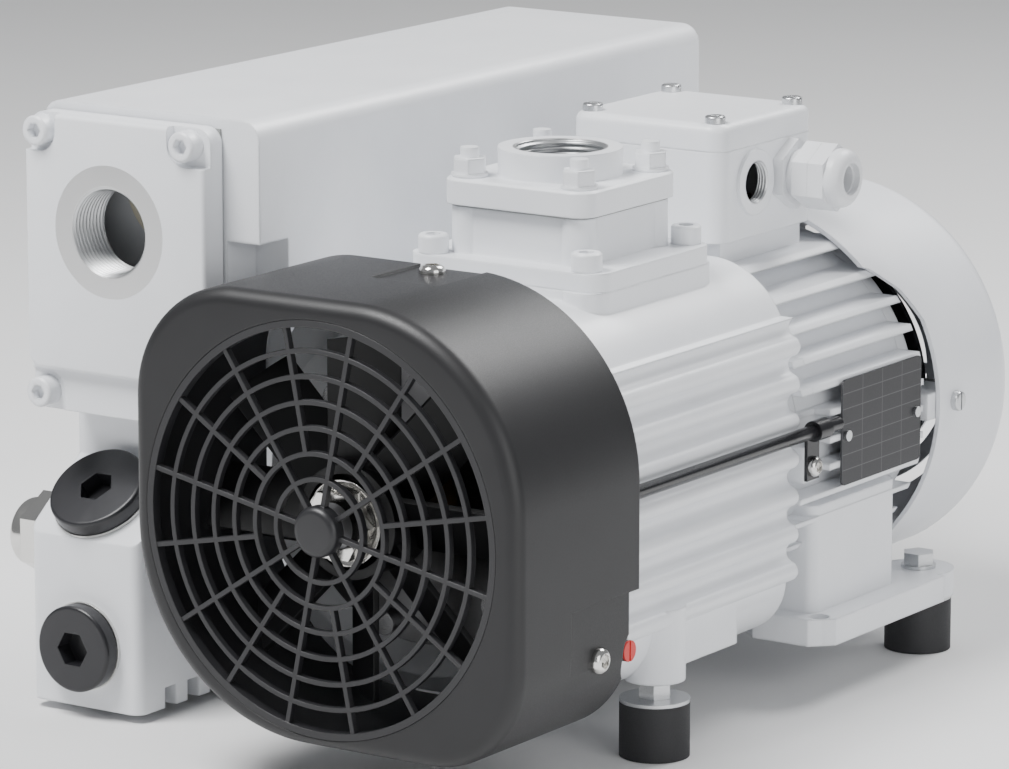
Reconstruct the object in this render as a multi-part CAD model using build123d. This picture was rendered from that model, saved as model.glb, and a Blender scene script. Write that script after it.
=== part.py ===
"""Rotary vane vacuum pump, single stage and oil sealed, direct driven by a foot mounted motor.

Sizes are in millimetres. X runs to the motor foot side, Y runs along the shaft from the
cooling fan to the motor, and Z is up. Pieces are modelled about the shaft axis, with the
fan grille in the plane Y = 0, and moved at the end so that the middle of the underside of
the whole pump is the origin. Each node is one STEP file of one or more separate solids.
"""

import math
import os

from build123d import *

# ---------------------------------------------------------------- driving dimensions
# Stance
SHAFT_HEIGHT = 90.0
FOOT_HEIGHT = 25.0
FOOT_DIAMETER = 30.0
FLOOR = -(SHAFT_HEIGHT + FOOT_HEIGHT)

# Fits
RUNNING = 0.05
SCREW_CLEARANCE = 0.1
SLIDING = 0.1
AIR_GAP = 0.3
GASKET = 1.0

# Pump cylinder, rotor and vanes
CYLINDER_RADIUS = 44.0
ECCENTRICITY = 6.2
SEAL_GAP = 0.3
ROTOR_RADIUS = CYLINDER_RADIUS - ECCENTRICITY - SEAL_GAP
ECCENTRIC_ANGLE = -45.0
CHAMBER_FRONT = 90.0
CHAMBER_LENGTH = 100.0
CHAMBER_BACK = CHAMBER_FRONT + CHAMBER_LENGTH
END_CLEARANCE = 0.15
VANE_COUNT = 3
VANE_THICKNESS = 5.0
VANE_ROOT = 12.8
VANE_TIP = ROTOR_RADIUS - 0.2
SHAFT_RADIUS = 12.5
SHAFT_NOSE_RADIUS = 10.0

# Pump housing
HOUSING_HALF_WIDTH = 76.5
HOUSING_TOP = 80.0
HOUSING_BOTTOM = -84.0
HOUSING_FRONT = 72.0
HOUSING_BACK = 239.0
END_PLATE_LAND = 11.8
END_PLATE_RADIUS = CYLINDER_RADIUS + ECCENTRICITY + END_PLATE_LAND
END_PLATE_SCREW_INSET = 6.0
END_PLATE_THICKNESS = 18.0
RIB_PITCH = 16.5
RIB_COUNT = 7
RIB_RISE = 6.0

# Fan cowl and grille at the front
COWL_LEFT = -94.0
COWL_RIGHT = 97.0
COWL_TOP = 95.0
COWL_BOTTOM = -91.0
COWL_DEPTH = 89.0
COWL_WALL = 3.0
COWL_EDGE = 6.5
GRILLE_RADIUS = 83.5
GRILLE_RIM = 3.0
GRILLE_RIB = 2.0
GRILLE_DEPTH = 3.0
HUB_RADIUS = 10.6
RING_RADIUS = 21.3
RING_PITCH = 10.5
RING_COUNT = 6
OUTER_SPOKES = 16
INNER_SPOKES = 8

# Oil casing and separator box on the left
CASING_LEFT = -196.0
CASING_RIGHT = -137.0
CASING_FRONT = 58.0
CASING_BACK = 412.0
CASING_BOTTOM = FLOOR + 3.6
CASING_WALL = 6.0
FIN_PITCH = 16.0
FIN_DEPTH = 9.0
SLANT_LOW = -37.0
SLANT_HIGH = -9.0
SLANT_RUN = 36.0
BOX_LEFT = -195.0
BOX_RIGHT = -81.0
BOX_FRONT = 72.0
BOX_BACK = 422.0
BOX_BOTTOM = 17.6
BOX_TOP = 150.0
BOX_WALL = 5.0
COVER_RIGHT = -99.5
COVER_FLANGE = 18.0
JOINT_PLANE = -84.0
NECK_FRONT = 96.0
NECK_BACK = 230.0
NECK_BOTTOM = -72.0

# Pipe threads, the wall being the thread's crest in the hole
PORT_RADIUS = 19.475
EXHAUST_X = -150.0
EXHAUST_Z = 98.4
INLET_X = 8.0
INLET_Y = 165.0

# Inlet stack, from the housing upwards
BASE_TOP = 92.0
BASE_THICKNESS = 8.0
BASE_X = 98.0
BASE_Y = 90.0
BLOCK_SIDE = 70.0
BLOCK_HEIGHT = 20.0
FLANGE_SIDE = 74.0
FLANGE_THICKNESS = 11.0
NECK_HEIGHT = 11.5
NECK_RADIUS = 26.5
STUD_SQUARE = 55.0
BASE_SQUARE = 77.0
VALVE_RADIUS = 23.0

# Motor
MOTOR_FRONT = 239.0
FRAME_FRONT = 250.0
FRAME_BACK = 343.0
MOTOR_BACK = 351.0
MOTOR_RADIUS = 75.0
MOTOR_COWL_RADIUS = 88.0
MOTOR_COWL_BACK = 421.0
MOTOR_COWL_WALL = 2.0
MOTOR_FIN_PITCH = 12.0
MOTOR_FIN = 2.8
MOTOR_FIN_TIP = 84.0
STATOR_RADIUS = 62.0
ARMATURE_RADIUS = 46.0
FOOT_PLATE = 12.0
FOOT_REACH = 90.0

# Terminal box
TERMINAL_HALF_WIDTH = 39.0
TERMINAL_FRONT = 243.0
TERMINAL_BACK = 322.0
TERMINAL_BOTTOM = 84.0
TERMINAL_SEAM = 124.0
TERMINAL_TOP = 136.0
ENTRY_RADIUS = 9.25
ENTRY_Z = 108.0
ENTRY_Y = 270.7
GLAND_Y = 300.0

# Small parts
M8_RADIUS = 4.0
M8_HEAD_RADIUS = 6.5
M8_HEAD = 8.0
M8_NUT_FLATS = 13.0
TUBE_RADIUS = 3.0
TUBE_BORE = 2.0
TUBE_X = 86.2
TUBE_Z = 7.5


# ---------------------------------------------------------------- shared shapes
def box(x0, x1, y0, y1, z0, z1):
    """Box between two corners."""
    middle = Pos((x0 + x1) / 2, (y0 + y1) / 2, (z0 + z1) / 2)
    return middle * Box(x1 - x0, y1 - y0, z1 - z0)


def rod_x(radius, x0, x1, y, z):
    """Cylinder along X."""
    return Pos((x0 + x1) / 2, y, z) * Rot(0, 90, 0) * Cylinder(radius, x1 - x0)


def rod_y(radius, y0, y1, x=0.0, z=0.0):
    """Cylinder along Y."""
    return Pos(x, (y0 + y1) / 2, z) * Rot(90, 0, 0) * Cylinder(radius, y1 - y0)


def rod_z(radius, z0, z1, x, y):
    """Cylinder along Z."""
    return Pos(x, y, (z0 + z1) / 2) * Cylinder(radius, z1 - z0)


def ring_y(outer, inner, y0, y1, x=0.0, z=0.0):
    """Ring about an axis along Y."""
    return rod_y(outer, y0, y1, x, z) - rod_y(inner, y0, y1, x, z)


def hexagon(flats, height):
    """Hexagonal prism standing on the XY plane, by its size across flats."""
    outline = RegularPolygon(flats / math.sqrt(3), 6)
    return extrude(outline, height)


def prism_x(points, x0, x1):
    """Polygon of (Y, Z) points carried along X."""
    face = make_face(Polyline(*[(x0, y, z) for y, z in points], close=True))
    return extrude(face, x1 - x0, dir=(1, 0, 0))


def prism_y(points, y0, y1):
    """Polygon of (X, Z) points carried along Y."""
    face = make_face(Polyline(*[(x, y0, z) for x, z in points], close=True))
    return extrude(face, y1 - y0, dir=(0, 1, 0))


def edges_along(shape, axis):
    """Straight edges that run along an axis."""
    return shape.edges().filter_by(axis)


def cut_all(shape, tools):
    """Shape less every tool."""
    for tool in tools:
        shape = shape - tool
    return shape


def join_all(shapes):
    """Every shape joined into the first."""
    whole = shapes[0]
    for shape in shapes[1:]:
        whole = whole + shape
    return whole


def socket_screw(length):
    """M8 socket head cap screw, head standing up from Z = 0 and shank hanging down."""
    head = Cylinder(M8_HEAD_RADIUS, M8_HEAD, align=(Align.CENTER, Align.CENTER, Align.MIN))
    head = chamfer(head.faces().sort_by(Axis.Z)[-1].edges(), 0.8)
    shank = Pos(0, 0, -length / 2) * Cylinder(M8_RADIUS, length)
    socket = Pos(0, 0, M8_HEAD - 4.0) * hexagon(6.0, 4.0)
    return head + shank - socket


def dome_screw(head_radius, head_height, shank_radius, length):
    """Round head screw with a hex socket, seated on Z = 0."""
    base = Cylinder(head_radius, head_height, align=(Align.CENTER, Align.CENTER, Align.MIN))
    head = fillet(base.faces().sort_by(Axis.Z)[-1].edges(), head_height * 0.75)
    shank = Pos(0, 0, -length / 2) * Cylinder(shank_radius, length)
    socket = Pos(0, 0, head_height * 0.4) * hexagon(head_radius, head_height)
    return head + shank - socket


def slotted_screw():
    """M5 cheese head screw with a driver slot, seated on Z = 0."""
    head = Cylinder(4.5, 3.2, align=(Align.CENTER, Align.CENTER, Align.MIN))
    head = fillet(head.faces().sort_by(Axis.Z)[-1].edges(), 1.0)
    shank = Pos(0, 0, -5.0) * Cylinder(2.5, 10.0)
    slot = Pos(0, 0, 2.6) * Box(10.0, 1.2, 1.4)
    return head + shank - slot


FACING_FRONT = Rot(90, 0, 0)
FACING_BACK = Rot(-90, 0, 0)
FACING_RIGHT = Rot(0, 90, 0)
FACING_LEFT = Rot(0, -90, 0)
FACING_DOWN = Rot(180, 0, 0)


# ---------------------------------------------------------------- pump rotor and vanes
CYLINDER_X = ECCENTRICITY * math.cos(math.radians(ECCENTRIC_ANGLE))
CYLINDER_Z = ECCENTRICITY * math.sin(math.radians(ECCENTRIC_ANGLE))
VANE_ANGLES = [ECCENTRIC_ANGLE + 360.0 / VANE_COUNT * i for i in range(VANE_COUNT)]
ROTOR_FRONT = CHAMBER_FRONT + END_CLEARANCE
ROTOR_BACK = CHAMBER_BACK - END_CLEARANCE
NOSE_FRONT = 14.0
NOSE_BACK = 56.0
DRIVE_END = 219.0
COUPLING_FRONT = 210.0
JAW_FRONT = 219.5
JAW_BACK = 228.0
COUPLING_BACK = 236.5
JAW_INNER = 14.0
JAW_OUTER = 29.0


def vane_at(angle):
    """Flat vane, retracted just inside the rotor's surface, on the radius at an angle from +X to +Z."""
    span = VANE_TIP - VANE_ROOT
    blade = Box(span, ROTOR_BACK - ROTOR_FRONT, VANE_THICKNESS)
    place = Pos((VANE_TIP + VANE_ROOT) / 2, (ROTOR_FRONT + ROTOR_BACK) / 2, 0)
    return Rot(0, -angle, 0) * place * blade


def make_rotor():
    """Slotted rotor with its shaft in one piece."""
    body = rod_y(ROTOR_RADIUS, ROTOR_FRONT, ROTOR_BACK)
    body += rod_y(SHAFT_RADIUS, NOSE_BACK, DRIVE_END)
    body += rod_y(SHAFT_NOSE_RADIUS, NOSE_FRONT, NOSE_BACK)
    width = VANE_THICKNESS + 2 * SLIDING
    reach = ROTOR_RADIUS + 5.0
    for angle in VANE_ANGLES:
        slot = Box(reach - VANE_ROOT + 0.5, CHAMBER_LENGTH + 1.0, width)
        place = Pos((reach + VANE_ROOT - 0.5) / 2, (ROTOR_FRONT + ROTOR_BACK) / 2, 0)
        body -= Rot(0, -angle, 0) * place * slot
    return body


def jaw(middle, half_angle, inner, outer, y0, y1):
    """Block of a ring between two radii, spread evenly about a middle angle."""
    count = 6
    angles = [middle - half_angle + 2 * half_angle * i / count for i in range(count + 1)]
    far = [(outer * math.cos(math.radians(a)), outer * math.sin(math.radians(a))) for a in angles]
    near = [(inner * math.cos(math.radians(a)), inner * math.sin(math.radians(a))) for a in angles]
    return prism_y(far + near[::-1], y0, y1)


def make_pump_hub():
    """Jaw coupling half on the pump shaft."""
    hub = ring_y(JAW_OUTER, SHAFT_RADIUS, COUPLING_FRONT, JAW_FRONT)
    for i in range(3):
        hub += jaw(120.0 * i, 20.0, JAW_INNER + 2.0, JAW_OUTER, JAW_FRONT - 0.5, JAW_BACK - 0.5)
    return hub


def make_motor_hub():
    """Jaw coupling half on the motor shaft."""
    hub = ring_y(JAW_OUTER, SHAFT_RADIUS, JAW_BACK, COUPLING_BACK)
    for i in range(3):
        middle = 60.0 + 120.0 * i
        hub += jaw(middle, 20.0, JAW_INNER + 2.0, JAW_OUTER, JAW_FRONT + 0.5, JAW_BACK + 0.5)
    return hub


def make_spider():
    """Rubber star between the coupling jaws."""
    star = rod_y(JAW_INNER, JAW_FRONT, JAW_BACK - 0.3)
    for i in range(6):
        star += jaw(30.0 + 60.0 * i, 8.5, 5.0, JAW_OUTER - 1.5, JAW_FRONT, JAW_BACK - 0.3)
    return star


def make_fan():
    """Axial fan with a deep hub and eight pitched blades."""
    hub = ring_y(24.0, SHAFT_NOSE_RADIUS, 20.0, 46.0)
    hub = hub - ring_y(20.0, 14.0, 20.0, 38.0)
    fan = hub
    for i in range(8):
        blade = Pos(48.0, 33.0, 0) * Rot(38, 0, 0) * Box(54.0, 2.4, 30.0)
        fan += Rot(0, 45.0 * i, 0) * blade
    return fan & rod_y(75.0, 18.0, 50.0)


def make_fan_nut():
    """Washer and nut that hold the fan on the shaft nose."""
    washer = ring_y(18.0, SHAFT_NOSE_RADIUS + RUNNING, 18.0, 20.0)
    nut = Pos(0, 18.0, 0) * FACING_FRONT * hexagon(27.0, 8.0)
    nut = nut - rod_y(SHAFT_NOSE_RADIUS + RUNNING, 5.0, 30.0)
    return [washer, nut]


# ---------------------------------------------------------------- pump housing
def wavy_outline():
    """Housing section in X and Z: soft corners and rounded ribs down the right flank."""
    width = 2 * HOUSING_HALF_WIDTH
    height = HOUSING_TOP - HOUSING_BOTTOM
    middle = (HOUSING_TOP + HOUSING_BOTTOM) / 2
    plain = Pos(0, middle) * Rectangle(width, height)
    x, low, high = HOUSING_HALF_WIDTH, HOUSING_BOTTOM, HOUSING_TOP
    corners = [(-x, low, 60.0), (x, low, 26.0), (-x, high, 40.0), (x, high, 40.0)]
    for corner_x, corner_z, radius in corners:
        near = plain.vertices().sort_by_distance((corner_x, corner_z, 0))[0]
        plain = fillet(near, radius)
    half = RIB_RISE / 2
    mean = x + half
    start = low + 26.0
    lines = []
    for i in range(RIB_COUNT):
        z = start + i * RIB_PITCH
        quarter = RIB_PITCH / 4
        crest = [(mean, z), (mean + half, z + quarter), (mean, z + 2 * quarter)]
        valley = [(mean, z + 2 * quarter), (mean - half, z + 3 * quarter), (mean, z + 4 * quarter)]
        lines.append(ThreePointArc(*crest))
        lines.append(ThreePointArc(*valley))
    end = start + RIB_COUNT * RIB_PITCH
    lines.append(Polyline((mean, end), (0, end), (0, start), (mean, start)))
    return plain + make_face(lines)


def end_plate_screw_points():
    """Six points on the end plate's bolt circle."""
    circle = END_PLATE_RADIUS - END_PLATE_SCREW_INSET
    return [
        (circle * math.cos(math.radians(a)), circle * math.sin(math.radians(a)))
        for a in range(15, 375, 60)
    ]


FOOT_X = 70.5
FRONT_FOOT_Y = 143.0
REAR_FOOT_X = 72.0
REAR_FOOT_Y = 362.0
BOSS_BOTTOM = -(SHAFT_HEIGHT - 8.0)
LUG_X = 2.0
LUG_Y = 78.6
LUG_HOLE_BOTTOM = 68.0
SIDE_LUG_Y = 60.0
SIDE_LUG_Z = -52.5
BALLAST_Y = 91.0
BALLAST_Z = -56.0
BASE_POINTS = [(sx, sy) for sx in (-1, 1) for sy in (-1, 1)]
EXHAUST_HOLES = (136.0, 156.0, 176.0)
EXHAUST_HOLE_Z = -6.0
NECK_BOLTS = [(y, z) for y in (NECK_FRONT + 9.0, NECK_BACK - 9.0) for z in (NECK_BOTTOM + 9.0, 8.0)]


def make_housing():
    """Pump housing casting with the eccentric cylinder, passages, bosses and ribs."""
    section = Rot(90, 0, 0) * wavy_outline()
    shell = extrude(Pos(0, COWL_DEPTH, 0) * section, HOUSING_BACK - COWL_DEPTH, dir=(0, 1, 0))
    under_cowl = extrude(cowl_outline(COWL_WALL), COWL_DEPTH, dir=(0, 1, 0))
    loose = extrude(cowl_outline(COWL_WALL + 1.0), COWL_DEPTH, dir=(0, 1, 0))
    shell += extrude(Pos(0, 80.0, 0) * section, COWL_DEPTH - 80.0, dir=(0, 1, 0)) & loose
    shell += rod_y(76.0, HOUSING_FRONT, 82.0)
    base_z = BASE_TOP - BASE_THICKNESS
    top = box(
        INLET_X - BASE_X / 2,
        INLET_X + BASE_X / 2,
        INLET_Y - BASE_Y / 2,
        INLET_Y + BASE_Y / 2,
        50.0,
        base_z,
    )
    shell += fillet(edges_along(top, Axis.Z), 9.0)
    for sx, sy in BASE_POINTS:
        x = INLET_X + sx * BASE_SQUARE / 2
        y = INLET_Y + sy * BASE_SQUARE / 2
        shell += rod_z(10.0, 50.0, base_z, x, y)
    shell += box(JOINT_PLANE, -60.0, NECK_FRONT, NECK_BACK, NECK_BOTTOM, BOX_BOTTOM)
    for side in (-1, 1):
        foot = rod_z(13.0, BOSS_BOTTOM, -50.0, side * FOOT_X, FRONT_FOOT_Y)
        low, high = sorted((side * 40.0, side * (FOOT_X + 6.0)))
        web = box(low, high, FRONT_FOOT_Y - 13.0, FRONT_FOOT_Y + 60.0, -78.0, -50.0)
        shell += foot + fillet(edges_along(web, Axis.Z), 6.0)
    shell += box(LUG_X - 6.0, LUG_X + 6.0, HOUSING_FRONT, 86.0, 60.0, COWL_TOP - COWL_WALL)
    side_lug = box(
        60.0, COWL_RIGHT - COWL_WALL, 54.0, 80.0, SIDE_LUG_Z - 5.5, SIDE_LUG_Z + 5.5
    )
    shell += side_lug & under_cowl
    shell += box(60.0, 90.0, 66.0, 78.0, TUBE_Z - 7.0, TUBE_Z + 7.0)
    shell += rod_x(11.0, 55.0, 79.0, BALLAST_Y, BALLAST_Z)
    tools = [
        rod_y(CYLINDER_RADIUS, HOUSING_FRONT - 1, HOUSING_BACK, CYLINDER_X, CYLINDER_Z),
        rod_y(END_PLATE_RADIUS, HOUSING_FRONT - 1, CHAMBER_FRONT),
        rod_y(END_PLATE_RADIUS, CHAMBER_BACK, HOUSING_BACK + 1),
        rod_z(13.0, 20.0, BASE_TOP, INLET_X, INLET_Y),
        rod_z(M8_RADIUS + SCREW_CLEARANCE, LUG_HOLE_BOTTOM, BASE_TOP + 4, LUG_X, LUG_Y),
        rod_x(3.1, 78.0, COWL_RIGHT, SIDE_LUG_Y, SIDE_LUG_Z),
        rod_x(5.1, 66.0, 80.0, BALLAST_Y, BALLAST_Z),
        rod_x(12.5, 79.0, COWL_RIGHT, BALLAST_Y, BALLAST_Z),
        rod_y(4.1, 70.0, 79.0, TUBE_X, TUBE_Z),
    ]
    for y in EXHAUST_HOLES:
        tools.append(rod_x(6.0, JOINT_PLANE - 1, -30.0, y, EXHAUST_HOLE_Z))
    for x, z in end_plate_screw_points():
        tools.append(rod_y(3.1, CHAMBER_FRONT - 1, CHAMBER_FRONT + 14.0, x, z))
        tools.append(rod_y(3.1, CHAMBER_BACK - 14.0, CHAMBER_BACK + 1, x, z))
    for sx, sy in BASE_POINTS:
        x = INLET_X + sx * BASE_SQUARE / 2
        y = INLET_Y + sy * BASE_SQUARE / 2
        tools.append(rod_z(M8_RADIUS + SCREW_CLEARANCE, base_z - 18.0, base_z + 1, x, y))
    for y, z in NECK_BOLTS:
        tools.append(rod_x(M8_RADIUS + SCREW_CLEARANCE, JOINT_PLANE - 1, -66.0, y, z))
    for side in (-1, 1):
        hole = rod_z(M8_RADIUS + SCREW_CLEARANCE, BOSS_BOTTOM - 1, -68.0, side * FOOT_X, FRONT_FOOT_Y)
        tools.append(hole)
    return cut_all(shell, tools)


def make_end_plate(outer_face, inner_face):
    """Round end plate of the cylinder, with bore for the bush and seat for the seal."""
    low, high = sorted((outer_face, inner_face))
    plate = rod_y(END_PLATE_RADIUS - SLIDING, low, high)
    plate -= rod_y(16.0, low - 1, high + 1)
    inward = 1 if inner_face > outer_face else -1
    seat = sorted((outer_face - inward, outer_face + 5.0 * inward))
    plate -= rod_y(19.0, seat[0], seat[1])
    for x, z in end_plate_screw_points():
        plate -= rod_y(3.1, low - 1, high + 1, x, z)
    return plate


FRONT_PLATE_FACE = CHAMBER_FRONT - END_PLATE_THICKNESS
REAR_PLATE_FACE = CHAMBER_BACK + END_PLATE_THICKNESS


def make_end_plate_screws():
    """M6 screws of both end plates."""
    screws = []
    for x, z in end_plate_screw_points():
        head = rod_y(5.0, FRONT_PLATE_FACE - 6.0, FRONT_PLATE_FACE, x, z)
        screws.append(head + rod_y(3.0, FRONT_PLATE_FACE, CHAMBER_FRONT + 12.0, x, z))
        head = rod_y(5.0, REAR_PLATE_FACE, REAR_PLATE_FACE + 6.0, x, z)
        screws.append(head + rod_y(3.0, CHAMBER_BACK - 12.0, REAR_PLATE_FACE, x, z))
    return screws


def make_bushes_and_seals():
    """Plain bearing bush and lip seal at each end plate."""
    inner = SHAFT_RADIUS + RUNNING
    return [
        ring_y(16.0, inner, FRONT_PLATE_FACE + 5.0, CHAMBER_FRONT),
        ring_y(16.0, inner, CHAMBER_BACK, REAR_PLATE_FACE - 5.0),
        ring_y(19.0, inner, FRONT_PLATE_FACE, FRONT_PLATE_FACE + 5.0),
        ring_y(19.0, inner, REAR_PLATE_FACE - 5.0, REAR_PLATE_FACE),
    ]


def make_leaf():
    """Spring steel flap over the exhaust holes."""
    low, high = EXHAUST_HOLE_Z - 9.0, EXHAUST_HOLE_Z + 10.0
    return box(JOINT_PLANE - 0.5, JOINT_PLANE, EXHAUST_HOLES[0] - 12.0, EXHAUST_HOLES[-1] + 12.0, low, high)


def make_leaf_stop():
    """Bent plate that limits the flap, on a spacer above it, with two screws."""
    y0, y1 = EXHAUST_HOLES[0] - 12.0, EXHAUST_HOLES[-1] + 12.0
    top = EXHAUST_HOLE_Z + 10.6
    foot = box(JOINT_PLANE - 4.0, JOINT_PLANE, y0, y1, top, top + 4.0)
    plate = prism_y(
        [
            (JOINT_PLANE - 2.5, top + 4.0),
            (JOINT_PLANE - 4.0, top + 4.0),
            (JOINT_PLANE - 9.5, top - 18.0),
            (JOINT_PLANE - 8.0, top - 18.0),
            (JOINT_PLANE - 2.5, top),
        ],
        y0,
        y1,
    )
    return foot + plate


# ---------------------------------------------------------------- oil casing and separator
def slant_frame():
    """Place and outward direction of the filler plug on the slanted face."""
    rise = SLANT_HIGH - SLANT_LOW
    length = math.hypot(rise, SLANT_RUN)
    normal = Vector(0, -rise / length, SLANT_RUN / length)
    middle = Vector(FILL_X, CASING_FRONT + SLANT_RUN / 2, (SLANT_LOW + SLANT_HIGH) / 2)
    return Location(Plane(origin=middle, x_dir=(1, 0, 0), z_dir=normal))


FILL_X = -169.0
DRAIN_X = -166.5
DRAIN_Z = -84.0
FILL_HEAD = 22.0
DRAIN_HEAD = 19.0
PLUG_HEAD_HEIGHT = 7.0
FILL_THREAD = 17.0
DRAIN_THREAD = 13.0
SEAL_RING = 1.5
SIGHT_Y = 82.0
SIGHT_Z = -44.0
SIGHT_THREAD = 12.0
FLOAT_Y = 385.0
FLOAT_Z = 46.0
FLOAT_X = -166.0


def casing_profile(inset):
    """Side outline of the oil casing in Y and Z, drawn in by an inset."""
    rise = SLANT_HIGH - SLANT_LOW
    length = math.hypot(rise, SLANT_RUN)
    low = SLANT_LOW - inset * (length - rise) / SLANT_RUN
    high = SLANT_HIGH - inset * (length - rise) / SLANT_RUN
    front = CASING_FRONT + inset
    bottom = CASING_BOTTOM + (FIN_DEPTH + inset if inset else 0.0)
    return [
        (front, bottom),
        (front, low),
        (front + SLANT_RUN, high),
        (front + SLANT_RUN, BOX_BOTTOM),
        (CASING_BACK - inset, BOX_BOTTOM),
        (CASING_BACK - inset, bottom),
    ]


def make_casing():
    """Oil casing: a deep tub with cooling fins below and a neck to the pump."""
    tub = prism_x(casing_profile(0.0), CASING_LEFT, CASING_RIGHT)
    corners = tub.edges().filter_by(Axis.Z).group_by(Axis.Y)[0]
    tub = fillet(corners, 5.0)
    y = CASING_FRONT + 18.0
    while y < CASING_BACK - FIN_PITCH:
        slot = box(
            CASING_LEFT - 1,
            CASING_RIGHT + 1,
            y,
            y + FIN_PITCH / 2,
            CASING_BOTTOM - 1,
            CASING_BOTTOM + FIN_DEPTH,
        )
        tub -= slot
        y += FIN_PITCH
    neck = box(
        CASING_RIGHT - 8.0,
        JOINT_PLANE - GASKET,
        NECK_FRONT + 18.0,
        NECK_BACK - 18.0,
        -56.0,
        BOX_BOTTOM,
    )
    flange = box(
        JOINT_PLANE - GASKET - 9.0,
        JOINT_PLANE - GASKET,
        NECK_FRONT,
        NECK_BACK,
        NECK_BOTTOM,
        BOX_BOTTOM,
    )
    body = tub + neck + flange
    body -= prism_x(casing_profile(CASING_WALL), CASING_LEFT + CASING_WALL, CASING_RIGHT - CASING_WALL)
    body -= box(CASING_RIGHT - 20.0, JOINT_PLANE, NECK_FRONT + 22.0, NECK_BACK - 22.0, -50.0, 10.0)
    body -= rod_y(DRAIN_THREAD + SCREW_CLEARANCE, CASING_FRONT - 1, CASING_FRONT + 12, DRAIN_X, DRAIN_Z)
    place = slant_frame()
    body -= place * Cylinder(FILL_THREAD + SCREW_CLEARANCE, 24.0)
    body -= rod_x(SIGHT_THREAD + SCREW_CLEARANCE, CASING_LEFT - 1, CASING_LEFT + 10, SIGHT_Y, SIGHT_Z)
    for y, z in NECK_BOLTS:
        body -= rod_x(M8_RADIUS + SCREW_CLEARANCE, JOINT_PLANE - 20.0, JOINT_PLANE, y, z)
    return body


def make_plug(head, thread, length):
    """Threaded plug with a hexagon socket, its flange face down on Z = 0 and thread below."""
    cap = Cylinder(head, PLUG_HEAD_HEIGHT, align=(Align.CENTER, Align.CENTER, Align.MIN))
    cap = fillet(cap.faces().sort_by(Axis.Z)[-1].edges(), 1.5)
    stem = Pos(0, 0, -length / 2) * Cylinder(thread, length)
    socket = Pos(0, 0, PLUG_HEAD_HEIGHT - 8.0) * hexagon(14.0, 9.0)
    return cap + stem - socket


def make_seal_ring(radius, inner):
    """Flat sealing ring lying on Z = 0."""
    ring = Cylinder(radius, SEAL_RING, align=(Align.CENTER, Align.CENTER, Align.MIN))
    hole = Cylinder(inner, 4 * SEAL_RING)
    return ring - hole


def drain_frame():
    """Place of the drain plug on the front face, facing forward."""
    return Pos(DRAIN_X, CASING_FRONT, DRAIN_Z) * FACING_FRONT


def make_sight_body():
    """Hexagonal sight glass body with a raised round rim."""
    hexa = hexagon(33.0, 11.0)
    rim = Pos(0, 0, 11.0) * Cylinder(15.0, 9.0, align=(Align.CENTER, Align.CENTER, Align.MIN))
    rim = fillet(rim.faces().sort_by(Axis.Z)[-1].edges(), 4.0)
    stem = Pos(0, 0, -3.5) * Cylinder(SIGHT_THREAD, 7.0)
    body = hexa + rim + stem
    body -= Pos(0, 0, 4.0) * Cylinder(8.0, 40.0)
    body -= Pos(0, 0, 20.0) * Cylinder(10.0, 8.0)
    return Pos(CASING_LEFT, SIGHT_Y, SIGHT_Z) * FACING_LEFT * body


def make_sight_lens():
    """Domed glass of the sight glass."""
    disc = Cylinder(10.0, 2.5, align=(Align.CENTER, Align.CENTER, Align.MIN))
    return Pos(CASING_LEFT - 16.0, SIGHT_Y, SIGHT_Z) * FACING_LEFT * disc


FILTER_X = -138.0
FILTER_ZS = (52.5, 114.5)
PARTITION = 96.0
PARTITION_THICKNESS = 6.0
MOTOR_SIDE_RELIEF = -92.0
MOTOR_RELIEF_TOP = 44.0
COVER_SCREWS = [(x, z) for x in (-187.3, -109.6) for z in (25.5, 139.0)]


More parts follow.
